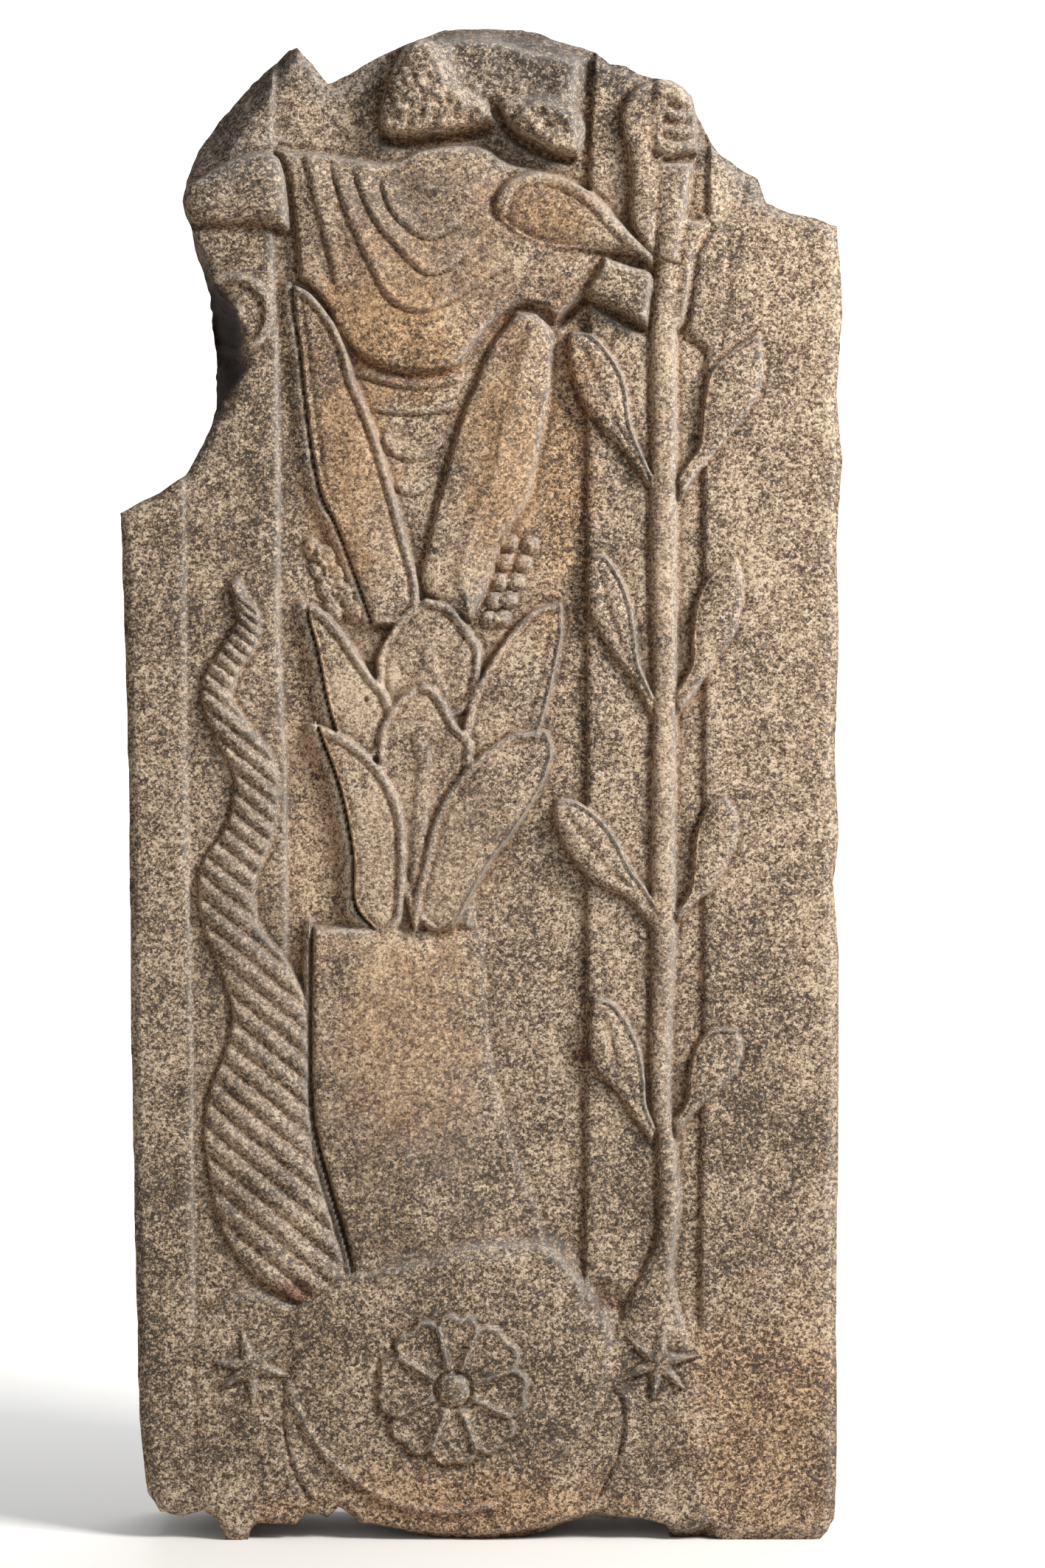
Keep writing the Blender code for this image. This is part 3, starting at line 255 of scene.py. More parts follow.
# Depths behind the front face at which a mark begins, and over which it grows, in metres.
SIDE_ROUGHNESS = (0.045, 0.030)
BREAK_ROUGHNESS = (0.002, 0.012)
BREAK_COLOUR = (0.004, 0.010)
FRONT_COLOUR = (0.040, 0.020)
BACK_DRESSING = (-0.012, 0.008)       # from the back instead
BACK_SMOOTHNESS = 0.6                 # share of the roughness that the dressed back loses
PATCH_EDGES = (0.035, 0.012)          # sizes of the ragged edges of the stains and painted patches
PATCH_SHARES = (0.35, 0.25)

# Reach of the soft windows that find creases and low-lying ground, the full marks, and the
# direction that the light comes from, along the face, which sets where shade and highlight are
# painted.
LIGHT_X, LIGHT_Z = 0.8, 0.6
CREASE_REACH = 0.0065
LOW_GROUND_REACH = 0.026
CREASE_FULL = 0.0016
LOW_GROUND_FULL = 0.010
LEAN_FULL = 0.8

# Where the stone is seen from: off its middle line, over the floor, and away from its face.
VIEW_X = 0.050
VIEW_Z = 0.919
VIEW_DISTANCE = 4.52
SPREAD_DEPTH = 0.080         # depth down to which broken faces are spread outwards
SPREAD_FOOT = 1.0            # height over which they are, growing over the next stretch
SPREAD_GROWTH = 0.3

# The points below are drawn in millimetres on a panel of this width and height: x from its
# middle line, z from its foot. They keep their share of the panel when it is made larger.
DRAWN_WIDTH = 880.0
DRAWN_HEIGHT = 1844.0

# The outline, clockwise from the foot of the left side.
LEFT_SIDE = [(-408, 57), (-417, 147), (-422, 349), (-428, 673), (-429, 889), (-434, 1069),
             (-440, 1249)]
LEFT_BREAK = [(-418, 1263), (-390, 1277), (-361, 1296), (-352, 1314), (-335, 1348), (-325, 1375),
              (-327, 1447), (-332, 1506), (-345, 1548), (-352, 1566), (-356, 1591), (-365, 1626),
              (-361, 1654), (-348, 1690), (-321, 1726), (-290, 1762), (-260, 1792), (-236, 1814)]
TOP_BREAK = [(-223, 1818), (-201, 1796), (-185, 1773), (-160, 1787), (-120, 1809), (-79, 1827),
             (-48, 1838), (-12, 1844), (33, 1843), (65, 1836), (96, 1824), (143, 1811), (159, 1798),
             (177, 1795), (197, 1783), (233, 1777), (258, 1759), (267, 1731), (280, 1703),
             (294, 1686), (314, 1672), (338, 1657), (349, 1628), (372, 1618), (407, 1609),
             (434, 1598)]
RIGHT_SIDE = [(438, 1548), (440, 1492), (433, 1393), (440, 1312), (433, 1213), (436, 1105),
              (431, 952), (436, 853), (429, 799), (436, 709), (436, 547), (432, 259), (434, 124),
              (431, 25), (422, 7)]
FOOT = [(411, 0), (230, 0), (220, 14), (195, 21), (159, 17), (137, 22), (105, 13), (74, 4), (51, 0),
        (-57, 0), (-97, 7), (-147, 15), (-160, 27), (-173, 37), (-186, 25), (-212, 30), (-225, 17),
        (-271, 18), (-284, 0), (-310, 0), (-325, 25), (-338, 33), (-364, 25), (-392, 32)]

OUTLINE = LEFT_SIDE + LEFT_BREAK + TOP_BREAK + RIGHT_SIDE + FOOT

# Edges of the stepped niche, from top to bottom.
OUTER_LEFT = [(-361, 1303), (-358, 917), (-356, 817), (-351, 583), (-348, 112), (-346, -2)]
INNER_LEFT = [(-253, 1798), (-255, 1580), (-249, 1467), (-246, 1249), (-247, 1096), (-238, 942),
              (-237, 712), (-235, 259)]
INNER_RIGHT = [(140, 1825), (134, 1705), (132, 1609), (130, 1249), (130, 891), (128, 330),
               (128, 241)]
OUTER_RIGHT = [(278, 1708), (277, 1519), (271, 1292), (272, 1036), (271, 774), (272, 664),
               (268, 439), (268, 232)]

# Where the niche's ground rises back to the outer face: its foot and its full depth.
NICHE_FOOT = [(0, 232), (0, 286)]

# Lower block, which closes the niche under the horn, the belly and the stem.
BLOCK_LEFT = [(-348, -20), (-348, 115), (-350, 214), (-345, 268)]
BLOCK_TOP = [(-345, 268), (-291, 309), (-191, 295), (-48, 358), (76, 366), (112, 322), (134, 292),
             (156, 258), (172, 252), (227, 262), (256, 250)]
BLOCK_RIGHT = [(256, 250), (267, 223), (266, 169), (274, 120), (284, 88), (286, -20)]

# The draped figure.
CLOAK_LEFT = [(-256, 1694), (-242, 1668), (-233, 1618), (-226, 1569), (-224, 1533), (-213, 1526),
              (-192, 1501), (-172, 1462), (-151, 1441), (-125, 1426), (-93, 1418), (-57, 1418),
              (-26, 1428), (-4, 1454)]
CLOAK_RIGHT = [(-256, 1694), (-188, 1689), (-115, 1678), (-70, 1695), (-3, 1699), (33, 1679),
               (78, 1668), (132, 1643), (164, 1609), (166, 1569), (128, 1510), (106, 1492),
               (89, 1477), (80, 1494), (60, 1501), (37, 1494), (15, 1478), (-4, 1454)]
FOLDS = [
    [(-125, 1654), (-110, 1615), (-90, 1593), (-71, 1581), (-53, 1582), (-19, 1600)],
    [(-158, 1672), (-141, 1624), (-125, 1595), (-103, 1570), (-84, 1549), (-65, 1537), (-42, 1543),
     (3, 1574)],
    [(-186, 1685), (-174, 1640), (-158, 1595), (-135, 1547), (-119, 1515), (-100, 1498),
     (-78, 1492), (-51, 1497), (-12, 1519), (45, 1556)],
    [(-217, 1687), (-202, 1627), (-186, 1563), (-176, 1519)],
]
COLLAR = [(-84, 1647), (-48, 1640), (-12, 1645), (32, 1679)]
HAIR_LEFT_LOWER = [(-108, 1796), (-122, 1758), (-128, 1728), (-120, 1709), (-96, 1703), (-57, 1706),
                   (-12, 1714), (22, 1724)]
HAIR_LEFT_UPPER = [(-108, 1796), (-98, 1816), (-80, 1828), (-52, 1822), (-32, 1796), (-20, 1770),
                   (8, 1752), (22, 1724)]
HEAD_SCAR_LOWER = [(-84, 1830), (-64, 1790), (-45, 1758), (10, 1738), (78, 1735), (120, 1735)]
HEAD_SCAR_UPPER = [(-84, 1830), (6, 1836), (60, 1823), (123, 1809), (129, 1780), (120, 1735)]
HAIR_RIGHT_LOWER = [(19, 1748), (26, 1728), (45, 1709), (75, 1692), (102, 1681), (119, 1684)]
HAIR_RIGHT_UPPER = [(19, 1748), (40, 1757), (78, 1758), (112, 1746), (128, 1716), (119, 1684)]

# The broken arm at the left, and the raised arm with its fist and leafy stalk at the right.
ARM_STUB_UPPER = [(-368, 1618), (-363, 1643), (-340, 1660), (-311, 1678), (-274, 1689),
                  (-246, 1685), (-235, 1659)]
ARM_STUB_LOWER = [(-368, 1618), (-357, 1598), (-318, 1596), (-273, 1598), (-235, 1589),
                  (-230, 1609), (-235, 1659)]
FOREARM_LEFT = [(200, 1774), (180, 1763), (170, 1748), (166, 1722), (174, 1688), (179, 1654),
                (177, 1609), (188, 1578), (212, 1555)]
FOREARM_RIGHT = [(200, 1774), (224, 1772), (226, 1699), (220, 1645), (218, 1600), (212, 1555)]
FIST_LEFT = [(227, 1784), (208, 1774), (204, 1735), (206, 1695), (212, 1672)]
FIST_RIGHT = [(227, 1778), (249, 1769), (263, 1744), (266, 1717), (262, 1688), (238, 1676),
              (212, 1672)]
FIST_FOOT = [(206, 1690), (214, 1680), (238, 1676), (262, 1686)]
GRIP_LEFT = [(205, 1678), (207, 1645), (208, 1600), (206, 1551)]
GRIP_RIGHT = [(262, 1678), (256, 1645), (253, 1618), (246, 1582), (241, 1551)]
SLEEVE_LEFT = [(148, 1563), (135, 1537), (124, 1510), (164, 1490), (204, 1468)]
SLEEVE_RIGHT = [(148, 1563), (177, 1553), (210, 1539), (208, 1501), (204, 1468)]
ELBOW_LEFT = [(245, 1612), (222, 1555), (220, 1501), (220, 1460)]
ELBOW_RIGHT = [(245, 1612), (280, 1598), (266, 1572), (260, 1545), (254, 1505), (246, 1474),
               (220, 1460)]
ELBOW_STONE_LEFT = [(262, 1618), (250, 1560), (246, 1505), (244, 1462)]
ELBOW_STONE_RIGHT = [(262, 1618), (294, 1606), (300, 1545), (296, 1490), (286, 1440), (244, 1462)]

# Cuts between the fingers, each rising to the right.
FINGER_LINES = [
    [(222, 1742), (240, 1738), (260, 1739), (276, 1741)],
    [(216, 1724), (236, 1719), (258, 1720), (276, 1723)],
    [(214, 1706), (234, 1700), (256, 1701), (276, 1705)],
]

# Deep undercuts below the sleeve and below the two masses of hair.
UNDERCUTS = [
    [(88, 1474), (108, 1492), (126, 1510), (164, 1490), (203, 1468)],
    [(-128, 1722), (-118, 1705), (-96, 1699), (-57, 1702), (-12, 1710), (16, 1720)],
    [(20, 1742), (24, 1728), (40, 1708), (68, 1692), (101, 1680), (118, 1685)],
]

# The stalk, and its leaves as pairs of edges from tip to foot.
STALK_LEFT = [(210, 1560), (204, 1465), (205, 1339), (203, 1195), (207, 1038), (205, 925),
              (204, 749), (203, 619), (204, 531), (211, 493), (213, 421), (210, 367), (192, 322),
              (170, 276), (160, 236)]
STALK_RIGHT = [(241, 1560), (239, 1465), (240, 1339), (240, 1195), (240, 1038), (238, 925),
               (239, 749), (234, 619), (233, 531), (238, 484), (244, 412), (238, 358), (236, 318),
               (246, 272), (256, 236)]
BIG_LEAF = ([(12, 1621), (24, 1599), (46, 1583), (78, 1570), (132, 1565), (177, 1559),
             (212, 1543)],
            [(12, 1621), (19, 1643), (38, 1660), (68, 1667), (104, 1660), (140, 1638),
             (174, 1602), (212, 1562)])
LEFT_LEAVES = [
    ([(106, 1471), (104, 1447), (110, 1413), (123, 1379), (145, 1351), (169, 1327), (208, 1271)],
     [(106, 1471), (132, 1469), (158, 1444), (177, 1407), (184, 1359), (195, 1327), (213, 1290)]),
    ([(130, 1200), (126, 1173), (130, 1124), (143, 1102), (161, 1073), (180, 1048), (208, 997)],
     [(130, 1200), (152, 1198), (173, 1168), (186, 1128), (192, 1079), (198, 1056), (213, 1024)]),
    ([(89, 902), (87, 876), (101, 840), (120, 814), (143, 794), (173, 781),
      (206, 743)],
     [(89, 902), (116, 900), (143, 882), (166, 853), (184, 817), (201, 795),
      (217, 769)]),
    ([(135, 662), (130, 633), (132, 579), (146, 561), (165, 541), (184, 512),
      (208, 479)],
     [(135, 662), (158, 657), (179, 633), (195, 597), (201, 561), (203, 531),
      (215, 500)]),
]
RIGHT_LEAVES = [
    ([(338, 1471), (303, 1447), (276, 1418), (266, 1366), (263, 1331), (250, 1312), (236, 1290)],
     [(338, 1471), (345, 1436), (342, 1403), (328, 1373), (299, 1335), (263, 1292),
      (240, 1256)]),
    ([(310, 1195), (287, 1183), (269, 1164), (258, 1137), (254, 1096), (253, 1065), (233, 1029)],
     [(310, 1195), (320, 1168), (318, 1132), (309, 1098), (290, 1072), (266, 1035),
      (238, 997)]),
    ([(297, 905), (276, 896), (263, 873), (256, 844), (254, 804), (249, 786),
      (233, 763)],
     [(297, 905), (312, 885), (312, 850), (299, 817), (278, 787), (258, 769),
      (238, 747)]),
    ([(312, 624), (278, 623), (258, 599), (250, 565), (248, 538), (238, 520),
      (230, 511)],
     [(312, 624), (320, 597), (310, 567), (289, 544), (269, 526), (251, 506),
      (237, 482)]),
]

# Husks, cobs and the two tiers of leaves under the cloak, each as a left and a right edge.
LEFT_HUSK = ([(-230, 1530), (-230, 1501), (-222, 1447), (-216, 1389), (-207, 1321), (-195, 1267),
              (-177, 1231), (-151, 1162), (-133, 1110)],
             [(-230, 1530), (-205, 1517), (-178, 1483), (-161, 1447), (-152, 1411), (-133, 1368),
              (-116, 1317), (-102, 1267), (-87, 1213), (-73, 1154), (-84, 1114), (-133, 1110)])
RIGHT_HUSK = ([(42, 1498), (10, 1456), (-8, 1413), (-25, 1372), (-37, 1334), (-48, 1294),
               (-60, 1249), (-69, 1207), (-73, 1154), (-12, 1114)],
              [(42, 1498), (69, 1494), (89, 1470), (90, 1425), (84, 1375), (74, 1330),
               (62, 1267), (33, 1222), (11, 1159), (-12, 1114)])

# Columns of kernels: middle of the top one, middle of the lowest one, how many.
LEFT_KERNELS = [((-206, 1206), (-180, 1132), 4), ((-189, 1196), (-158, 1130), 4)]
RIGHT_KERNELS = [((35, 1213), (10, 1119), 5), ((59, 1211), (26, 1121), 5)]

# Folds of the robe between the husks.
TORSO_BANDS = [
    [(-157, 1418), (-107, 1404), (-66, 1402), (-16, 1412)],
    [(-140, 1375), (-102, 1370), (-52, 1371), (-28, 1377)],
    [(-127, 1348), (-112, 1323), (-87, 1313), (-61, 1319), (-42, 1341)],
    [(-109, 1285), (-94, 1272), (-77, 1272), (-61, 1285)],
]

# The mass behind the two tiers of leaves, and the leaves from back to front.
TIER_GROUND_LEFT = [(-75, 1120), (-112, 1070), (-150, 1010), (-140, 950), (-128, 860), (-130, 735)]
TIER_GROUND_RIGHT = [(-75, 1120), (-25, 1070), (0, 1010), (0, 950), (-8, 860), (-2, 735)]
CENTRE_LEAF_UPPER = ([(-68, 1148), (-97, 1127), (-118, 1098), (-130, 1065), (-120, 1010),
                      (-60, 985)],
                     [(-68, 1148), (-37, 1138), (-12, 1107), (3, 1076), (-10, 1015), (-60, 985)])
LEFT_LEAF_UPPER = ([(-212, 1141), (-211, 1119), (-202, 1087), (-194, 1047), (-184, 1002),
                    (-160, 930)],
                   [(-212, 1141), (-194, 1134), (-168, 1107), (-145, 1074), (-127, 1048),
                    (-109, 1024), (-104, 970), (-160, 930)])
RIGHT_LEAF_UPPER = ([(99, 1143), (62, 1133), (37, 1109), (14, 1078), (-4, 1047), (-19, 1011),
                     (-26, 960), (-10, 915)],
                    [(99, 1143), (102, 1114), (97, 1078), (89, 1042), (76, 993), (50, 940),
                     (-10, 915)])
CENTRE_LEAF_LOWER = ([(-68, 1043), (-93, 1032), (-114, 1008), (-127, 970), (-120, 871),
                      (-80, 730)],
                     [(-68, 1043), (-50, 1032), (-28, 993), (-8, 961), (-30, 862), (-80, 730)])
LEFT_LEAF_LOWER = ([(-201, 995), (-194, 972), (-177, 927), (-165, 879), (-157, 828),
                    (-154, 770), (-120, 730)],
                   [(-201, 995), (-165, 979), (-133, 954), (-109, 923), (-94, 885),
                    (-89, 841), (-91, 790), (-96, 750), (-120, 730)])
RIGHT_LEAF_LOWER = ([(80, 986), (42, 983), (6, 963), (-28, 930), (-50, 898),
                     (-64, 862), (-74, 817), (-84, 765), (-55, 730)],
                    [(80, 986), (89, 961), (80, 925), (60, 888), (40, 858),
                     (14, 824), (-12, 779), (-30, 745), (-55, 730)])
TRUNK = ([(-207, 749), (-209, 709), (-210, 619), (-209, 538), (-201, 484), (-187, 432),
          (-172, 381), (-159, 329), (-152, 285)],
         [(5, 745), (8, 682), (10, 628), (19, 570), (33, 509), (50, 453), (68, 408), (80, 365),
          (88, 325)])
BELLY_CENTRE = (-37, 237)
BELLY_TOP = [(-201, 327), (-157, 333), (-111, 341), (-30, 355), (42, 358), (73, 368), (105, 349),
             (135, 312)]
CRESCENTS = [
    [(-238, 203), (-238, 144), (-232, 106), (-221, 75), (-202, 43)],
    [(156, 189), (172, 169), (173, 133), (164, 94), (138, 43)],
]
ROSETTE_CENTRE = (-34, 186)
PETAL_LINES = [103, 68, 18, -25, -68, -110, -155, 148]
# Stars: middle, angles of the arms in degrees, rise in metres.
STARS = [
    ((214, 218), [141, 78, 9, -46, -97, -153], 0.009),
    ((-279, 212), [105, 172, 216, 273, -14, 32], 0.0065),
]

# Pits and holes: middle, radius and depth, both in metres.
HOLLOWS = [((147, 292), 0.026, 0.007), ((73, 857), 0.005, 0.005), ((-140, 1022), 0.0035, 0.006)]

# The ribbed horn between the outer face and the figure.
HORN_LEFT = [(-311, 1165), (-302, 1139), (-300, 1114), (-317, 1086), (-336, 1056), (-342, 1023),
             (-328, 979), (-307, 943), (-302, 914), (-312, 868), (-337, 832), (-346, 799),
             (-341, 750), (-321, 698), (-305, 646), (-312, 597), (-330, 553), (-338, 500),
             (-332, 443), (-318, 381), (-289, 331), (-246, 298), (-222, 288)]
HORN_RIGHT = [(-311, 1165), (-292, 1171), (-280, 1148), (-266, 1125), (-270, 1089), (-291, 1054),
              (-301, 1024), (-286, 1001), (-259, 966), (-245, 934), (-246, 876), (-260, 831),
              (-273, 790), (-266, 745), (-237, 709), (-214, 664), (-209, 610), (-207, 529),
              (-201, 466), (-185, 408), (-168, 349), (-160, 318)]
DISC_CENTRE = (-302, 1490)

# The line where each broken face leaves the old surface, with the break on its right.
UPPER_LEFT_BREAK = [(-214, 1825), (-224, 1805), (-241, 1778), (-256, 1757), (-277, 1731),
                    (-311, 1679), (-352, 1649), (-372, 1636)]
UPPER_BREAK = [(186, 1796), (143, 1807), (98, 1813), (77, 1822), (30, 1820), (12, 1831),
               (-27, 1828), (-58, 1822), (-84, 1823)]
SIDE_HOLLOW = [(-364, 1602), (-352, 1587), (-340, 1575), (-328, 1537), (-318, 1512), (-300, 1500),
               (-287, 1467), (-279, 1429), (-291, 1411), (-315, 1388), (-330, 1363), (-345, 1336)]
CORNER_BREAK = [(411, 1612), (372, 1607), (343, 1606), (287, 1593), (276, 1663), (267, 1708),
                (263, 1744)]
UNDERSIDE_BREAK = [(-166, 8), (-146, 22), (-84, 13), (-3, 7), (65, 17), (145, 40), (192, 27),
                   (246, 14), (281, 24), (290, -6)]

# Broken faces: line, fall for each metre outwards, deepest fall in metres.
BREAK_FACES = [
    (UPPER_LEFT_BREAK, 1.3, 0.080),
    (UPPER_BREAK, 1.2, 0.018),
    (SIDE_HOLLOW, 2.6, 0.090),
    (CORNER_BREAK, 0.35, 0.020),
    (UNDERSIDE_BREAK, 1.2, 0.030),
]


def drawn(points):
    """Points of the drawing, in metres at the panel's real width and height."""
    across = PANEL_WIDTH / DRAWN_WIDTH
    up = PANEL_HEIGHT / DRAWN_HEIGHT
    return np.asarray(points, float) * (across, up)


def eased(share):
    """0 to 1 with a soft start and end."""
    share = np.clip(share, 0.0, 1.0)
    return share * share * (3.0 - 2.0 * share)


def through(points, steps=5):
    """A smooth curve through the drawn points, which keeps its ends."""
    knots = drawn(points)
    padded = np.vstack([2 * knots[0] - knots[1], knots, 2 * knots[-1] - knots[-2]])
    curve = [knots[0]]
    for a, b, c, d in zip(padded, padded[1:], padded[2:], padded[3:]):
        for step in range(1, steps + 1):
            t = step / steps
            curve.append(0.5 * (2 * b + (c - a) * t + (2 * a - 5 * b + 4 * c - d) * t ** 2
                                + (3 * b - 3 * c + d - a) * t ** 3))
    return np.array(curve)


def to_curve(x, z, curve):
    """Distance to a curve, share of its length, and side (positive on its left)."""
    nearest = np.full(x.shape, np.inf)
    share = np.zeros(x.shape)
    side = np.ones(x.shape)
    spans = np.linalg.norm(np.diff(curve, axis=0), axis=1)
    starts = np.concatenate([[0.0], np.cumsum(spans)])
    for (ax, az), (bx, bz), span, start in zip(curve, curve[1:], spans, starts):
        if span == 0.0:
            continue
        ux, uz = (bx - ax) / span, (bz - az) / span
        along = np.clip((x - ax) * ux + (z - az) * uz, 0.0, span)
        off_x, off_z = x - ax - along * ux, z - az - along * uz
        distance = np.hypot(off_x, off_z)
        closer = distance < nearest
        nearest[closer] = distance[closer]
        share[closer] = ((start + along) / starts[-1])[closer]
        side[closer] = np.where(ux * off_z - uz * off_x >= 0.0, 1.0, -1.0)[closer]
    return nearest, share, side


def inside(x, z, outline):
    """Which points lie within a closed outline."""
    within = np.zeros(x.shape, bool)
    for (ax, az), (bx, bz) in zip(outline, np.roll(outline, -1, axis=0)):
        if az == bz:
            continue
        crosses = (az > z) != (bz > z)
        within ^= crosses & (x < (bx - ax) * (z - az) / (bz - az) + ax)
    return within


def bar(distance, width):
    """Height of a half-round bar of this width, beside the edge that the distance is taken from."""
    return np.sqrt(np.clip(1.0 - (2.0 * distance / width - 1.0) ** 2, 0.0, 1.0))


def soft_line(distance, width):
    """1 on a line, falling softly to 0 beside it."""
    return np.exp(-(distance / width) ** 2)


class Relief:
    """Heights over the outer face at a set of points of the front."""

    def __init__(self, x, z):
        self.x, self.z = x, z
        self.height = np.zeros(x.shape)
        self.band = np.zeros(x.shape)
        self.floor = np.zeros(x.shape)

    def near(self, curve, margin):
        low, high = curve.min(axis=0) - margin, curve.max(axis=0) + margin
        return np.flatnonzero((self.x > low[0]) & (self.x < high[0])
                              & (self.z > low[1]) & (self.z < high[1]))

    def form(self, left, right, level, ground=None, edge=EDGE_WIDTH, crown=0.0, left_rim=0.0,
             right_rim=0.0, moat=MOAT_DEPTH, skirt=0.0, open_foot=False, detail=None):
        """A raised form between a left and a right edge, both drawn from its tip to its foot."""
        left, right = through(left), through(right)
        outline = np.vstack([left, right[::-1]])
        picked = self.near(outline, max(LINE_SPAN * MOAT_WIDTH, skirt))
        at = SimpleNamespace(x=self.x[picked], z=self.z[picked])
        at.to_left, along_left, side = to_curve(at.x, at.z, left)
        at.to_right, along_right, _ = to_curve(at.x, at.z, right)
        at.across = at.to_left / np.maximum(at.to_left + at.to_right, MERGE_DISTANCE)
        at.along = along_left * (1.0 - at.across) + along_right * at.across
        at.border = np.minimum(at.to_left, at.to_right)
        for end in ((0,) if open_foot else (0, -1)):
            cap = np.vstack([left[end], right[end]])
            if np.ptp(cap, axis=0).any():
                at.border = np.minimum(at.border, to_curve(at.x, at.z, cap)[0])
        base = 0.0 if ground is None else ground[picked]
        top = base + level + crown * 4.0 * at.across * (1.0 - at.across)
        for width, distance in ((left_rim, at.to_left), (right_rim, at.to_right)):
            if width:
                top = top + LEAF_RIM_RISE * bar(distance, width)
                top = top - RIM_LINE_DEPTH * soft_line(distance - width, LINE_WIDTH)
        if detail is not None:
            top = top + detail(at)
        here = self.height[picked]
        if skirt:
            slope = eased(1.0 - at.to_left / skirt) * (side < 0.0) * (at.to_right > at.to_left)
            here = here + np.maximum(base + SKIRT_SHARE * level - here, 0.0) * slope
        here = here - moat * soft_line(at.border, MOAT_WIDTH)
        if open_foot:
            top = np.maximum(top, here)
        cover = np.where(inside(at.x, at.z, outline), eased(at.border / edge), 0.0)
        self.height[picked] = here * (1.0 - cover) + top * cover

    def groove(self, points, depth=LINE_DEPTH, width=LINE_WIDTH, lip=0.0, lip_width=FOLD_WIDTH):
        """A cut along a curve, with an optional lip on its left that dies away."""
        curve = through(points)
        picked = self.near(curve, LINE_SPAN * max(width, lip_width))
        distance, share, side = to_curve(self.x[picked], self.z[picked], curve)
        ends = eased(share / LINE_FADE) * eased((1.0 - share) / LINE_FADE)
        raised = np.where(side > 0.0, lip * soft_line(distance, lip_width), 0.0)
        self.height[picked] += (raised - depth * soft_line(distance, width)) * ends

    def dome(self, centre, reach, rise, stretch=1.0, turn=0.0):
        """A round or oval swelling, or a pit where its rise is below zero."""
        picked = self.near(np.array([centre]), reach * max(stretch, 1.0))
        dx, dz = self.x[picked] - centre[0], self.z[picked] - centre[1]
        along = (dx * math.cos(turn) + dz * math.sin(turn)) / (reach * stretch)
        across = (dz * math.cos(turn) - dx * math.sin(turn)) / reach
        self.height[picked] += rise * np.sqrt(np.clip(1.0 - along ** 2 - across ** 2, 0.0, 1.0))

    def break_face(self, points, slope, limit):
        """A broken face that falls back from a line to the outline on its right."""
        line = drawn(points)
        run = line[-1] - line[0]
        outwards = np.array([run[1], -run[0]]) / np.linalg.norm(run) * BREAK_REACH
        region = np.vstack([line, line[-1] + outwards, line[0] + outwards])
        picked = np.flatnonzero(inside(self.x, self.z, region))
        distance, _, _ = to_curve(self.x[picked], self.z[picked], line)
        self.height[picked] -= np.minimum(distance * slope, limit)


def niche(relief):
    """The outer face, the side bands and the middle recess."""
    x, z = relief.x, relief.z

    def edge_at(points):
        line = drawn(points)[::-1]
        return np.interp(z, line[:, 1], line[:, 0])

    foot_z, head_z = drawn(NICHE_FOOT)[:, 1]
    fade = eased((z - foot_z) / (head_z - foot_z))
    outer_left, outer_right = edge_at(OUTER_LEFT), edge_at(OUTER_RIGHT)
    share = np.clip((x - outer_left) / (outer_right - outer_left), 0.0, 1.0)
    relief.band = -BAND_DEPTH_LEFT - (BAND_DEPTH_RIGHT - BAND_DEPTH_LEFT) * share
    recess = RECESS_DEPTH_LEFT + (RECESS_DEPTH_RIGHT - RECESS_DEPTH_LEFT) * share
    relief.floor = relief.band - recess
    outer = eased((x - outer_left) / STEP_SLOPE) * eased((outer_right - x) / STEP_SLOPE)
    inner_left, inner_right = edge_at(INNER_LEFT), edge_at(INNER_RIGHT)
    inner = eased((x - inner_left) / STEP_SLOPE) * eased((inner_right - x) / STEP_SLOPE)
    relief.height += (relief.band * outer - recess * inner) * fade
    for line in (OUTER_LEFT, INNER_LEFT, INNER_RIGHT, OUTER_RIGHT):
        relief.groove(line, depth=STEP_LINE_DEPTH)


def lower_block(relief):
    relief.form(BLOCK_LEFT + BLOCK_TOP[1:], BLOCK_RIGHT[::-1], BLOCK_RISE, edge=WORN_EDGE, moat=0.0)


def cloak(relief):
    def body(at):
        return CLOAK_SWELL * eased(at.border / CLOAK_SWELL_REACH)

    relief.form(CLOAK_LEFT, CLOAK_RIGHT, CLOAK_EDGE_RISE, relief.floor, edge=SOFT_EDGE, detail=body)
    for fold in FOLDS:
        relief.groove(fold, lip=FOLD_RISE)
    relief.groove(COLLAR, depth=-COLLAR_RISE, width=WIDE_LINE_WIDTH)


def husks(relief):
    def ridged(at):
        ridge = HUSK_RIDGE * soft_line(at.across - HUSK_RIDGE_PLACE, HUSK_RIDGE_SPREAD)
        fall = HUSK_FALL * eased((at.across - HUSK_FALL_PLACE) / (1.0 - HUSK_FALL_PLACE))
        return (ridge - fall) * eased(at.along / TIP_SHARE)

    def lined(at):
        line = LINE_DEPTH * soft_line(at.to_left - HUSK_LINE_INSET, LINE_WIDTH)
        end = 1.0 - eased((at.along - HUSK_LINE_END) / TIP_SHARE)
        return -line * eased(at.along / HUSK_LINE_TIP) * end

    for band in TORSO_BANDS:
        relief.groove(band, lip=TORSO_FOLD_RISE, lip_width=TORSO_FOLD_WIDTH)
    relief.form(*LEFT_HUSK, HUSK_RISE, relief.floor, crown=HUSK_CROWN, right_rim=WIDE_RIM,
                skirt=HUSK_SKIRT, detail=lined)
    relief.form(*RIGHT_HUSK, HUSK_RISE, relief.floor, crown=HUSK_CROWN, edge=SOFT_EDGE,
                detail=ridged)
    for top, foot, count in LEFT_KERNELS:
        cob(relief, top, foot, count, KERNEL_STRETCH)
    for top, foot, count in RIGHT_KERNELS:
        cob(relief, top, foot, count, 1.0)


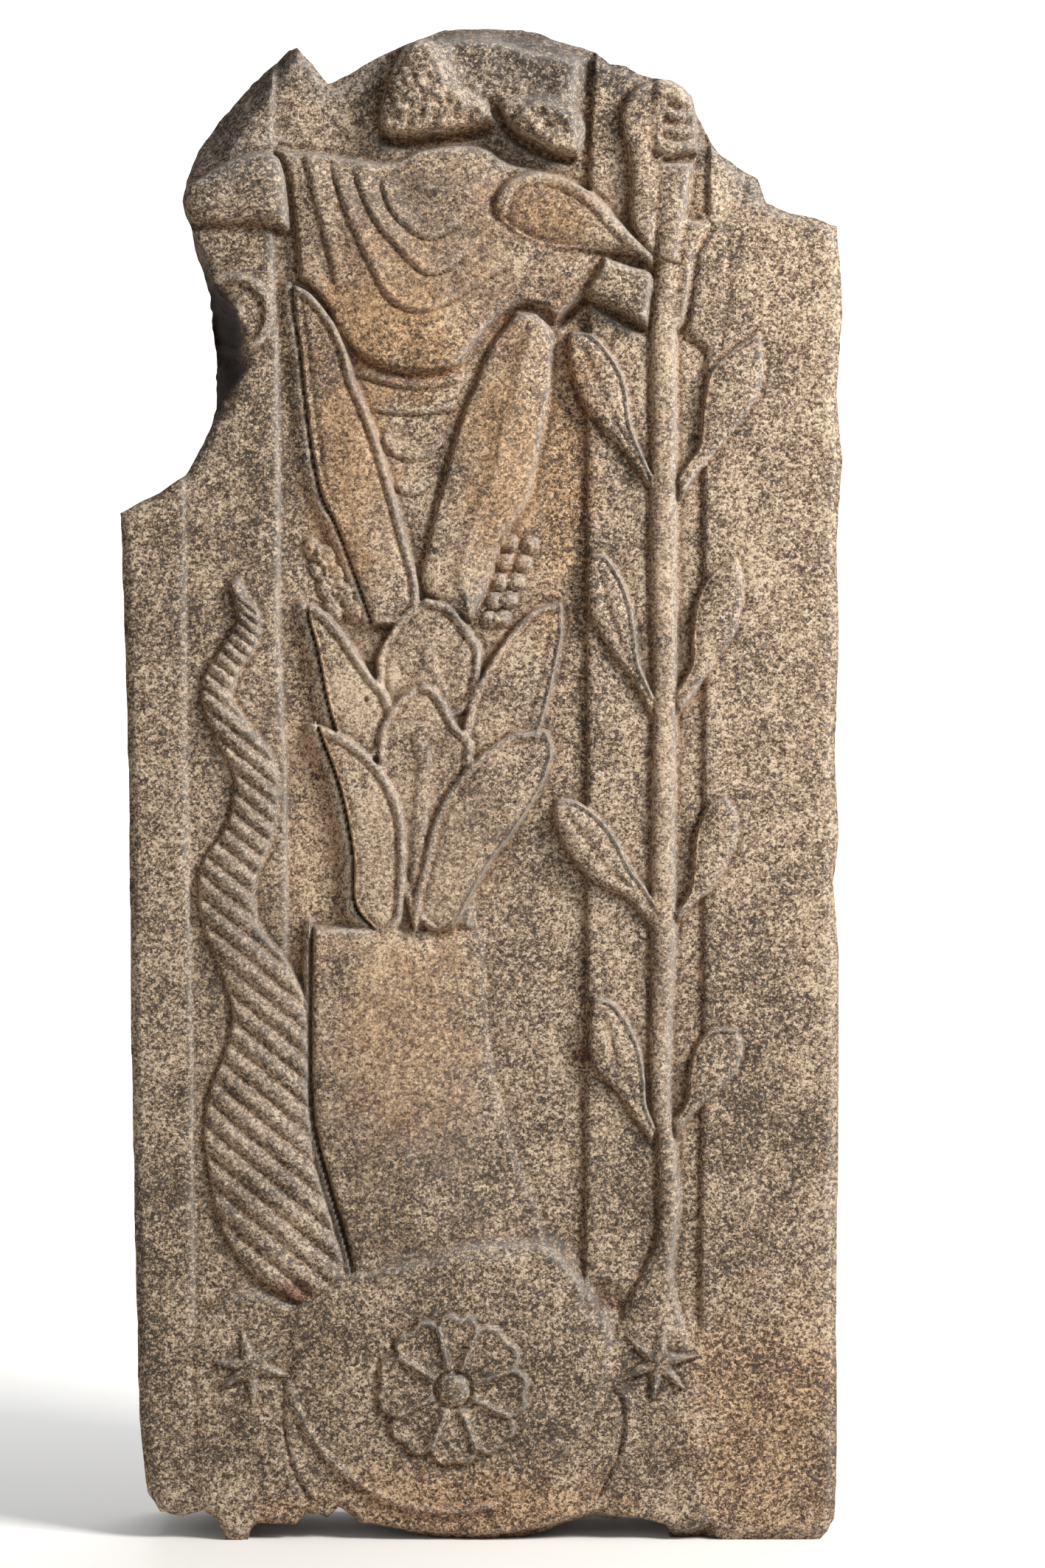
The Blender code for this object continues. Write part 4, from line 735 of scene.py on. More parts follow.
def cob(relief, top, foot, count, stretch):
    """One column of kernels, evenly spaced and each ringed by its own groove."""
    top, foot = drawn([top, foot])
    turn = math.atan2(foot[1] - top[1], foot[0] - top[0])
    for row in range(count):
        centre = top + (foot - top) * row / (count - 1)
        relief.dome(centre, KERNEL_RING * KERNEL_RADIUS, -KERNEL_SINK, stretch, turn)
        relief.dome(centre, KERNEL_RADIUS, KERNEL_RISE + KERNEL_SINK, stretch, turn)


def leaf_tiers(relief):
    floor = relief.floor

    def ribbed(at):
        rib = np.sqrt(np.clip(1.0 - ((at.to_left - at.to_right) / LEAF_RIB_WIDTH) ** 2, 0.0, 1.0))
        return LEAF_RIB_RISE * rib * eased((at.along - LEAF_RIB_TIP) / TIP_SHARE)

    def folded(at):
        line = LINE_DEPTH * soft_line(at.to_right - LEAF_FOLD_INSET, LINE_WIDTH)
        return -line * eased(at.along / TIP_SHARE)

    relief.form(TIER_GROUND_LEFT, TIER_GROUND_RIGHT, TIER_GROUND_RISE, floor, edge=WORN_EDGE,
                moat=0.0)
    relief.form(*CENTRE_LEAF_UPPER, UPPER_CENTRE_LEAF_RISE, floor, left_rim=WIDE_RIM,
                right_rim=WIDE_RIM, detail=ribbed)
    relief.form(*LEFT_LEAF_UPPER, UPPER_LEAF_RISE, floor, left_rim=NARROW_RIM,
                right_rim=WIDE_RIM, skirt=LEAF_SKIRT)
    relief.form(*RIGHT_LEAF_UPPER, UPPER_LEAF_RISE, floor, left_rim=WIDE_RIM,
                right_rim=NARROW_RIM, detail=folded)
    relief.form(*CENTRE_LEAF_LOWER, LOWER_CENTRE_LEAF_RISE, floor, left_rim=WIDE_RIM,
                right_rim=WIDE_RIM, detail=ribbed)
    relief.form(*LEFT_LEAF_LOWER, LOWER_LEAF_RISE, floor, left_rim=NARROW_RIM,
                right_rim=WIDE_RIM, skirt=LEAF_SKIRT)
    relief.form(*RIGHT_LEAF_LOWER, LOWER_LEAF_RISE, floor, crown=LEAF_CROWN,
                left_rim=WIDE_RIM, right_rim=NARROW_RIM)


def trunk(relief):
    def rounded(at):
        right = eased((at.across - TRUNK_FALL_PLACE) / (1.0 - TRUNK_FALL_PLACE))
        foot = eased((at.along - TRUNK_FOOT_PLACE) / (1.0 - TRUNK_FOOT_PLACE))
        return TRUNK_RISE * ((1.0 - TRUNK_FALL * right) * (1.0 - TRUNK_FOOT_FALL * foot) - 1.0)

    relief.form(*TRUNK, TRUNK_RISE, relief.floor, edge=SOFT_EDGE, moat=0.5 * MOAT_DEPTH,
                skirt=TRUNK_SKIRT, detail=rounded)


def arc(centre, radius, start, end, steps=9):
    """Drawn points along an arc between two angles in degrees."""
    turns = np.radians(np.linspace(start, end, steps))
    size = radius / PANEL_HEIGHT * DRAWN_HEIGHT
    return [(centre[0] + size * math.cos(turn), centre[1] + size * math.sin(turn))
            for turn in turns]


def belly(relief):
    """The round belly with the raised line around its foot and a crescent at each side."""
    centre = drawn([BELLY_CENTRE])[0]
    foot = arc(BELLY_CENTRE, BELLY_RADIUS, 270, 270, steps=1)

    def domed(at):
        reach = np.hypot(at.x - centre[0], at.z - centre[1]) / (BELLY_REACH * BELLY_RADIUS)
        return BELLY_RISE * np.sqrt(np.clip(1.0 - reach ** 2, 0.0, 1.0))

    left = BELLY_TOP[:1] + arc(BELLY_CENTRE, BELLY_RADIUS, 160, 258) + foot
    right = BELLY_TOP + arc(BELLY_CENTRE, BELLY_RADIUS, 12, -78) + foot
    relief.form(left, right, BLOCK_RISE, edge=WORN_EDGE, moat=0.0, detail=domed)
    relief.groove(BELLY_TOP, depth=-0.5 * BELLY_LINE_RISE, width=1.2 * LINE_WIDTH)
    relief.groove(arc(BELLY_CENTRE, BELLY_RADIUS, 188, 292), depth=-BELLY_LINE_RISE,
                  width=WIDE_LINE_WIDTH)
    for crescent in CRESCENTS:
        relief.groove(crescent, depth=CRESCENT_DEPTH, lip=0.5 * BELLY_LINE_RISE,
                      lip_width=CRESCENT_WIDTH)


def rosette(relief):
    """Eight petals with notched ends, thin ridges between them, and a button."""
    centre = drawn([ROSETTE_CENTRE])[0]
    picked = relief.near(np.array([centre]), ORNAMENT_MARGIN * ROSETTE_RADIUS)
    dx, dz = relief.x[picked] - centre[0], relief.z[picked] - centre[1]
    reach = np.hypot(dx, dz)
    turn = np.degrees(np.arctan2(dz, dx))
    lines = np.sort(np.array(PETAL_LINES, float))
    starts = np.searchsorted(lines, turn) - 1
    low = lines[starts]
    spread = np.mod(np.roll(lines, -1)[starts] - low, 360.0)
    share = np.mod(turn - low, 360.0) / spread
    across = 2.0 * share - 1.0
    notch = np.where(np.abs(across) < 0.5, PETAL_NOTCH * np.cos(np.pi * across) ** 2, 0.0)
    end = ROSETTE_RADIUS * (1.0 - PETAL_ROUNDING * np.abs(across) ** 4 - notch)
    to_line = np.radians(np.minimum(share, 1.0 - share) * spread) * reach
    petal = eased((end - reach) / EDGE_WIDTH)
    hollow = eased((end - reach - EDGE_WIDTH) / SOFT_EDGE) * eased(to_line / SOFT_EDGE)
    ridge = soft_line(to_line, PETAL_RIDGE_WIDTH)
    cut = MOAT_DEPTH * soft_line(reach - end - 0.5 * MOAT_WIDTH, MOAT_WIDTH)
    around = eased((reach - BUTTON_RADIUS) / EDGE_WIDTH)
    shape = PETAL_RISE - PETAL_HOLLOW * hollow + PETAL_RIDGE_RISE * ridge
    relief.height[picked] += around * (petal * shape - cut)
    relief.dome(centre, BUTTON_RADIUS, BUTTON_RISE)


def star(relief, centre, turns, rise):
    """A flower of ridged pointed arms."""
    middle = drawn([centre])[0]
    picked = relief.near(np.array([middle]), ORNAMENT_MARGIN * STAR_REACH)
    dx, dz = relief.x[picked] - middle[0], relief.z[picked] - middle[1]
    top, cut = np.zeros(dx.shape), np.zeros(dx.shape)
    for turn in np.radians(turns):
        along = dx * np.cos(turn) + dz * np.sin(turn)
        across = np.abs(dz * np.cos(turn) - dx * np.sin(turn))
        taper = np.clip(1.0 - along / STAR_REACH, 0.0, 1.0) ** STAR_TAPER
        half = STAR_ARM * taper + MERGE_DISTANCE
        arm = np.clip(1.0 - across / half, 0.0, 1.0) * (along > 0.0)
        beside = soft_line(across - half, LINE_WIDTH) * (along < STAR_REACH)
        beside = beside * eased(along / STAR_HEART)
        top, cut = np.maximum(top, arm), np.maximum(cut, beside)
    shape = np.where(top > 0.0, STAR_EDGE + (1.0 - STAR_EDGE) * top, -STAR_EDGE * cut)
    relief.height[picked] += rise * shape


def horn(relief):
    tip, foot = drawn([HORN_LEFT[0], HORN_RIGHT[-1]])

    def ribs(at):
        down = (tip[1] - at.z - RIB_SLOPE * (at.x - tip[0])) / (tip[1] - foot[1])
        phase = HORN_RIBS * np.clip(down, 0.0, None) ** RIB_CROWDING
        return RIB_RISE * (np.abs(np.sin(np.pi * phase)) - RIB_MIDDLE) * eased(at.along / RIB_TIP)

    relief.form(HORN_LEFT, HORN_RIGHT, HORN_EDGE_RISE - BAND_DEPTH_LEFT, crown=HORN_CROWN,
                detail=ribs)


def broken_disc(relief):
    centre = drawn([DISC_CENTRE])[0]
    reach = np.hypot(relief.x - centre[0], relief.z - centre[1])
    relief.height += DISC_RISE * eased((DISC_RADIUS - reach) / EDGE_WIDTH)
    relief.height -= DISC_HOLLOW * eased((DISC_RADIUS - DISC_RIM - reach) / EDGE_WIDTH)
    relief.height += DISC_BOSS_RISE * eased((DISC_BOSS_RADIUS - reach) / SOFT_EDGE)


def stalk_and_leaves(relief):
    def veined(at):
        vein = LINE_DEPTH * soft_line(at.across - VEIN_PLACE, VEIN_SPREAD)
        end = 1.0 - eased((at.along - VEIN_END) / VEIN_FADE)
        return -vein * eased(at.along / TIP_SHARE) * end

    def round_bar(at):
        return STALK_RISE * np.sqrt(np.clip(1.0 - (2.0 * at.across - 1.0) ** 2, 0.0, 1.0))

    for left, right in LEFT_LEAVES:
        relief.form(left, right, BRANCH_LEAF_RISE, relief.band, crown=LEAF_CROWN,
                    right_rim=NARROW_RIM, detail=veined)
    for left, right in RIGHT_LEAVES:
        relief.form(left, right, OUTER_LEAF_RISE, crown=LEAF_CROWN, left_rim=NARROW_RIM)
    relief.form(STALK_LEFT, STALK_RIGHT, 0.0, relief.band, open_foot=True, detail=round_bar)


def head_and_hair(relief):
    def lumpy(at):
        swell = HAIR_SWELL * eased(at.to_left / HAIR_SWELL_REACH)
        fall = (HAIR_LEFT_RISE + swell - SCAR_RISE) * (1.0 - eased(at.to_right / HAIR_FALL_REACH))
        return swell - fall

    def curled(at):
        return (SCAR_RISE - HAIR_RIGHT_RISE) * (1.0 - eased(at.to_right / HAIR_FALL_REACH))

    band = relief.band
    relief.form(HEAD_SCAR_LOWER, HEAD_SCAR_UPPER, SCAR_RISE, band, edge=SCAR_EDGE, moat=0.0)
    relief.form(HAIR_LEFT_LOWER, HAIR_LEFT_UPPER, HAIR_LEFT_RISE, band, edge=SOFT_EDGE, moat=0.0,
                detail=lumpy)
    relief.form(HAIR_RIGHT_LOWER, HAIR_RIGHT_UPPER, HAIR_RIGHT_RISE, band, edge=EDGE_WIDTH,
                moat=0.0, detail=curled)
    curls(relief, HAIR_LEFT_LOWER, HAIR_LEFT_UPPER)
    curls(relief, HAIR_RIGHT_LOWER, HAIR_RIGHT_UPPER)


def curls(relief, left, right):
    """Tight curls over a mass of hair, in staggered rows and each a little out of place."""
    outline = np.vstack([through(left), through(right)[::-1]])
    low, high = outline.min(axis=0), outline.max(axis=0)
    stray = np.random.default_rng(CURL_SEED)
    for row, z in enumerate(np.arange(low[1], high[1], CURL_SPACING)):
        for x in np.arange(low[0] + (row % 2) * CURL_SPACING / 2, high[0], CURL_SPACING):
            centre = np.array([x, z]) + stray.uniform(-CURL_STRAY, CURL_STRAY, 2)
            turn = stray.uniform(0.0, math.pi)
            if inside(centre[:1], centre[1:], outline)[0]:
                relief.dome(centre, CURL_RADIUS, CURL_RISE, CURL_STRETCH, turn)


def elbow(relief):
    """The elbow beside the stalk, and the plain stone that closes the niche's step behind it."""
    relief.form(ELBOW_STONE_LEFT, ELBOW_STONE_RIGHT, 0.0, edge=WORN_EDGE)
    relief.form(ELBOW_LEFT, ELBOW_RIGHT, 0.0, edge=SOFT_EDGE, crown=ELBOW_CROWN)
    relief.groove(ELBOW_RIGHT[1:])


def arms(relief):
    def block(at):
        return ARM_SWELL * eased(at.border / ARM_SWELL_REACH)

    relief.form(ARM_STUB_UPPER, ARM_STUB_LOWER, ARM_STUB_RISE, edge=SOFT_EDGE, detail=block)
    relief.form(SLEEVE_LEFT, SLEEVE_RIGHT, SLEEVE_RISE, edge=SOFT_EDGE, crown=SLEEVE_CROWN)
    relief.form(FOREARM_LEFT, FOREARM_RIGHT, FOREARM_RISE, edge=SOFT_EDGE, crown=FOREARM_CROWN)
    relief.form(GRIP_LEFT, GRIP_RIGHT, GRIP_RISE, edge=SOFT_EDGE, crown=GRIP_CROWN)
    relief.form(FIST_LEFT, FIST_RIGHT, FIST_RISE, edge=SOFT_EDGE, crown=FIST_CROWN, moat=0.0)
    for line in FINGER_LINES:
        relief.groove(line, depth=FINGER_LINE_DEPTH, width=FINGER_LINE_WIDTH)
    relief.groove(FIST_FOOT, depth=FIST_FOOT_DEPTH)
    relief.form(*BIG_LEAF, BIG_LEAF_RISE, edge=SOFT_EDGE, crown=BIG_LEAF_CROWN, left_rim=NARROW_RIM,
                right_rim=BIG_LEAF_BAND)
    for line in UNDERCUTS:
        relief.groove(line, depth=UNDERCUT_DEPTH, width=UNDERCUT_WIDTH)


def hollows(relief):
    """The pit at the stem's foot and the small holes."""
    for centre, reach, depth in HOLLOWS:
        relief.dome(drawn([centre])[0], reach, -depth)


def wear(relief):
    """Broken faces, and the rounding of every outer edge."""
    for line, slope, limit in BREAK_FACES:
        relief.break_face(line, slope, limit)
    distance, _, _ = to_curve(relief.x, relief.z, drawn(OUTLINE + OUTLINE[:1]))
    relief.height -= ARRIS_WEAR * (1.0 - eased(distance / (2.0 * ARRIS_WEAR)))


def carve(x, z):
    """The whole relief, from the ground of the niche up to the broken faces."""
    relief = Relief(x, z)
    niche(relief)
    cloak(relief)
    husks(relief)
    leaf_tiers(relief)
    trunk(relief)
    lower_block(relief)
    belly(relief)
    rosette(relief)
    horn(relief)
    for centre, turns, rise in STARS:
        star(relief, centre, turns, rise)
    broken_disc(relief)
    elbow(relief)
    stalk_and_leaves(relief)
    head_and_hair(relief)
    arms(relief)
    hollows(relief)
    wear(relief)
    return relief.height


def lattice_noise(u, v, size, seed):
    """Smooth noise from -1 to 1 over a surface, with lumps of the given size."""
    u, v = u / size, v / size
    low_u, low_v = np.floor(u.min()), np.floor(v.min())
    columns = int(np.floor(u.max()) - low_u) + 2
    rows = int(np.floor(v.max()) - low_v) + 2
    knots = np.random.default_rng(seed).uniform(-1.0, 1.0, (rows, columns))
    column, row = np.floor(u - low_u).astype(int), np.floor(v - low_v).astype(int)
    right, up = eased(u - np.floor(u)), eased(v - np.floor(v))
    below = knots[row, column] * (1.0 - right) + knots[row, column + 1] * right
    above = knots[row + 1, column] * (1.0 - right) + knots[row + 1, column + 1] * right
    return below * (1.0 - up) + above * up


def layered_noise(u, v, sizes, shares, seeds, base=0.0):
    """Noises of several sizes together, each with its share, over a base value."""
    total = np.full(u.shape, base)
    for size, share, seed in zip(sizes, shares, seeds):
        total = total + share * lattice_noise(u, v, size, seed)
    return total


def broken_share(x, z):
    """1 beside the broken stretches of the outline, 0 along the dressed sides."""
    shares = np.zeros(x.shape)
    for stretch in (LEFT_BREAK, TOP_BREAK, FOOT):
        distance, _, _ = to_curve(x, z, drawn(stretch))
        shares = np.maximum(shares, 1.0 - eased((distance - BREAK_CLEAR) / BREAK_FADE))
    return shares


def chipped_outline():
    """Close points of the chipped outline, the way into the stone at each, and how broken it is."""
    corners = drawn(OUTLINE)
    points = []
    for start, end in zip(corners, np.roll(corners, -1, axis=0)):
        parts = int(np.ceil(np.linalg.norm(end - start) / OUTLINE_STEP))
        points.extend(start + (end - start) * part / parts for part in range(parts))
    points = np.array(points)
    ahead = np.roll(points, -3, axis=0) - np.roll(points, 3, axis=0)
    inwards = np.column_stack([ahead[:, 1], -ahead[:, 0]])
    inwards /= np.linalg.norm(inwards, axis=1)[:, None]
    broken = broken_share(points[:, 0], points[:, 1])
    depth = CHIP_DEPTH + (BREAK_CHIP_DEPTH - CHIP_DEPTH) * broken
    chips = layered_noise(*points.T, CHIP_SIZES, CHIP_SHARES, CHIP_SEEDS, base=0.5)
    chips *= eased(points[:, 1] / FOOT_CONTACT)
    return points + inwards * (depth * chips)[:, None], inwards, broken


class Front:
    """The carved front on a square grid, with the maps that its wear and colour follow, among them
    painted shade and painted highlight set by the light's direction.
    """

    def __init__(self):
        self.columns = np.arange(LOW[0] + GRID / 2, HIGH[0], GRID)
        self.rows = np.arange(LOW[2] + GRID / 2, HIGH[2], GRID)
        x, z = np.meshgrid(self.columns, self.rows)
        within = inside(x, z, drawn(OUTLINE))
        picked = np.flatnonzero(within.ravel())
        self.x, self.z = x.ravel(), z.ravel()
        self.within = within.ravel()
        height = np.full(self.x.shape, OFF_STONE_HEIGHT)
        height[picked] = carve(self.x[picked], self.z[picked])
        height += UNDULATION * lattice_noise(self.x, self.z, UNDULATION_SIZE, UNDULATION_SEED)
        height += FRETTING * lattice_noise(self.x, self.z, FRETTING_SIZE, FRETTING_SEED)
        crust = layered_noise(self.x, self.z, CRUST_SIZES, CRUST_SHARES, CRUST_SEEDS)
        for centre, reach, depth in CRUSTS:
            (cx, cz), (rx, rz) = drawn([centre, reach])
            away = np.hypot((self.x - cx) / rx, (self.z - cz) / rz)
            height += depth * crust * (1.0 - eased(1.5 * away - 0.5))
        self.height = height.reshape(x.shape)
        fine = self.blurred(self.height, CREASE_REACH)
        broad = self.blurred(self.height, LOW_GROUND_REACH)
        soft = self.blurred(self.height, 0.5 * CREASE_REACH)
        uphill_z, uphill_x = np.gradient(soft, GRID)
        lean = np.clip((LIGHT_X * uphill_x + LIGHT_Z * uphill_z) / LEAN_FULL, -1.0, 1.0)
        hollow = np.clip((fine - self.height) / CREASE_FULL, 0.0, 1.0)
        proud = np.clip((self.height - fine) / CREASE_FULL, 0.0, 1.0)
        # Painted shade on slopes turned from the light, and painted highlight on slopes turned to
        # it.
        dim, lit = 0.5 * np.maximum(lean, 0.0), 0.5 * np.maximum(-lean, 0.0)
        # Patina in the hollows, stronger where they turn from the light, plus the painted shade.
        self.patina_and_shade = np.clip(hollow * (0.6 + 0.4 * lean) + dim, 0.0, 1.0)
        # Grey bloom on proud edges, stronger where they turn to the light, plus the painted
        # highlight.
        self.raised = np.clip(proud * (0.5 - 0.5 * lean) + lit, 0.0, 1.0)
        # Ground lying below its broader surroundings, which gets a darker, browner tint.
        self.low_ground = np.clip((broad - self.height) / LOW_GROUND_FULL, 0.0, 1.0)

    def blurred(self, field, reach):
        """Mean of a map over a soft window, within the stone."""
        weight = self.within.reshape(field.shape).astype(float)
        total = field * weight
        radius = max(1, int(round(0.35 * reach / GRID)))
        for axis in (0, 1):
            for _ in range(3):
                total, weight = (self.running(each, radius, axis) for each in (total, weight))
        mean = total / np.maximum(weight, MERGE_DISTANCE)
        return np.where(weight > MERGE_DISTANCE, mean, field)

    @staticmethod
    def running(field, radius, axis):
        """Mean of a map over a plain window along one axis."""
        pad = [(0, 0), (0, 0)]
        pad[axis] = (radius + 1, radius)
        sums = np.cumsum(np.pad(field, pad), axis=axis)
        span = field.shape[axis]
        window = 2 * radius + 1
        return (np.take(sums, np.arange(window, window + span), axis)
                - np.take(sums, np.arange(span), axis)) / window

    def sampled(self, field, x, z):
        """A map read at any points, between its grid points."""
        column = np.clip((x - self.columns[0]) / GRID, 0, len(self.columns) - 1.001)
        row = np.clip((z - self.rows[0]) / GRID, 0, len(self.rows) - 1.001)
        left, low = column.astype(int), row.astype(int)
        right, up = column - left, row - low
        below = field[low, left] * (1 - right) + field[low, left + 1] * right
        above = field[low + 1, left] * (1 - right) + field[low + 1, left + 1] * right
        return below * (1 - up) + above * up


def front_mesh(front, outline):
    """Points and faces of the front: the outline first, then the grid, with a seam between them."""
    to_edge, _, _ = to_curve(front.x, front.z, drawn(OUTLINE + OUTLINE[:1]))
    broken = broken_share(front.x, front.z)
    clear = GRID + CHIP_DEPTH + (BREAK_CHIP_DEPTH - CHIP_DEPTH) * broken
    kept = (front.within & (to_edge > clear)).reshape(front.height.shape)
    cells = kept[:-1, :-1] & kept[:-1, 1:] & kept[1:, :-1] & kept[1:, 1:]
    row, column = np.nonzero(cells)
    wide = front.height.shape[1]
    first = row * wide + column
    corners = np.column_stack([first, first + 1, first + 1 + wide, first + wide])
    used = np.unique(corners)
    number = np.full(front.x.shape, -1)
    number[used] = len(outline) + np.arange(len(used))
    squares = number[corners]
    seam = seam_edges(cells, wide)
    border = np.unique(seam)
    local = {index: len(outline) + place for place, index in enumerate(border)}
    plan = [Vector(point) for point in outline]
    plan += [Vector((front.x[index], front.z[index])) for index in border]
    found = geometry.delaunay_2d_cdt(plan, [(local[a], local[b]) for a, b in seam],
                                     [list(range(len(outline)))], 1, MERGE_DISTANCE)
    places = np.array([tuple(point) for point in found[0]])
    triangles = np.array([tuple(face) for face in found[2]])
    middle = places[triangles].mean(axis=1)
    in_column = np.floor((middle[:, 0] - front.columns[0]) / GRID).astype(int)
    in_row = np.floor((middle[:, 1] - front.rows[0]) / GRID).astype(int)
    safe_row = np.clip(in_row, 0, cells.shape[0] - 1)
    safe_column = np.clip(in_column, 0, cells.shape[1] - 1)
    covered = cells[safe_row, safe_column] & (in_row == safe_row) & (in_column == safe_column)
    renumber = np.concatenate([np.arange(len(outline)), number[border]])
    strip = renumber[triangles[~covered]]
    x = np.concatenate([outline[:, 0], front.x[used]])
    z = np.concatenate([outline[:, 1], front.z[used]])
    rim = front.sampled(front.height, outline[:, 0], outline[:, 1])
    rim = np.mean([np.roll(rim, step) for step in range(-RIM_SMOOTHING, RIM_SMOOTHING + 1)], axis=0)
    height = np.concatenate([rim, front.height.ravel()[used]])
    return x, z, height, squares, strip


def seam_edges(cells, wide):
    """Grid edges that have a kept square on one side only."""
    padded = np.pad(cells, 1)
    rows, columns = np.nonzero(padded[1:, 1:-1] != padded[:-1, 1:-1])
    level = [(r * wide + c, r * wide + c + 1) for r, c in zip(rows, columns)]
    rows, columns = np.nonzero(padded[1:-1, 1:] != padded[1:-1, :-1])
    upright = [(r * wide + c, (r + 1) * wide + c) for r, c in zip(rows, columns)]
    return np.array(level + upright)


def spread_breaks(points):
    """Moves deep broken faces outwards, so that from the front they reach the outline."""
    x, y, z = points.T
    share = broken_share(x, z) * eased((z - SPREAD_FOOT) / SPREAD_GROWTH)
    reach = np.clip(y - FACE_Y, 0.0, SPREAD_DEPTH) / VIEW_DISTANCE * share
    return np.column_stack([x + (x - VIEW_X) * reach, y, z + (z - VIEW_Z) * reach])


def carved_stone():
    """The whole stone as one closed mesh, before its fine weathering."""
    outline, inwards, broken = chipped_outline()
    front = Front()
    x, z, height, squares, strip = front_mesh(front, outline)
    height = np.minimum(height, FACE_Y - LOW[1])
    points = [np.column_stack([x, FACE_Y - height, z])]
    count = len(x)
    rings = [np.arange(len(outline))]
    rim_y = FACE_Y - height[:len(outline)]
    for row in range(1, WALL_ROWS + 1):
        share = row / WALL_ROWS
        y = rim_y * (1.0 - share) + BACK_Y * share
        depth = SIDE_HOLLOW_DEPTH + (BREAK_HOLLOW_DEPTH - SIDE_HOLLOW_DEPTH) * broken
        lumps = 0.5 + 0.3 * lattice_noise(outline[:, 0] + 1.7 * y, outline[:, 1] + 0.9 * y,
                                          HOLLOW_SIZES[0], HOLLOW_SEEDS[0])
        lumps += 0.2 * lattice_noise(outline[:, 0] + 1.3 * y, outline[:, 1] - 1.1 * y,
                                     HOLLOW_SIZES[1], HOLLOW_SEEDS[1])
        sunk = depth * lumps * eased((y - rim_y) / WALL_BEND) * eased(outline[:, 1] / FOOT_CONTACT)
        ring = outline + inwards * sunk[:, None]
        points.append(np.column_stack([ring[:, 0], y, ring[:, 1]]))
        rings.append(count + np.arange(len(outline)))
        count += len(outline)
    walls = []
    for near, far in zip(rings, rings[1:]):
        walls.append(np.column_stack([near, np.roll(near, -1), np.roll(far, -1), far]))
    back_points, back_faces = back_mesh(ring, rings[-1], count)
    points.append(back_points)
    return front, mesh_from("relief_panel_stone", spread_breaks(np.vstack(points)),
                            [squares, np.vstack(walls)], [strip, back_faces])


def back_mesh(ring, ring_numbers, first):
    """The roughly dressed back, inside the last ring of the walls."""
    columns = np.arange(LOW[0] + BACK_GRID / 2, HIGH[0], BACK_GRID)
    rows = np.arange(LOW[2] + BACK_GRID / 2, HIGH[2], BACK_GRID)
    x, z = (part.ravel() for part in np.meshgrid(columns, rows))
    within = inside(x, z, ring)
    to_edge, _, _ = to_curve(x[within], z[within], np.vstack([ring, ring[:1]])[::3])
    clear = to_edge > 0.6 * BACK_GRID
    x, z = x[within][clear], z[within][clear]
    plan = [Vector(point) for point in ring] + [Vector(point) for point in np.column_stack([x, z])]
    triangles = np.array([tuple(face) for face in geometry.delaunay_2d_cdt(
        plan, [], [list(range(len(ring)))], 1, MERGE_DISTANCE)[2]])
    broad, fine = BACK_HOLLOW_SIZES
    lumps = 0.5 + 0.3 * lattice_noise(x, z, broad, BACK_HOLLOW_SEEDS[0])
    lumps += 0.2 * lattice_noise(x + z, z - x, fine, BACK_HOLLOW_SEEDS[1])
    sunk = BACK_HOLLOW_DEPTH * lumps
    numbers = np.concatenate([ring_numbers, first + np.arange(len(x))])
    return np.column_stack([x, BACK_Y - sunk, z]), numbers[triangles[:, ::-1]]


def mesh_from(name, vertices, squares, triangles):
    """A mesh from arrays of four-sided and three-sided faces."""
    squares, triangles = np.vstack(squares), np.vstack(triangles)
    loops = np.concatenate([squares.ravel(), triangles.ravel()])
    sizes = np.concatenate([np.full(len(squares), 4), np.full(len(triangles), 3)])
    mesh = bpy.data.meshes.new(name)
    mesh.vertices.add(len(vertices))
    mesh.vertices.foreach_set("co", vertices.astype(np.float32).ravel())
    mesh.loops.add(len(loops))
    mesh.loops.foreach_set("vertex_index", loops.astype(np.int32))
    mesh.polygons.add(len(sizes))
    starts = np.concatenate([[0], np.cumsum(sizes)[:-1]])
    mesh.polygons.foreach_set("loop_start", starts.astype(np.int32))
    mesh.update(calc_edges=True)
    mesh.validate()
    return mesh


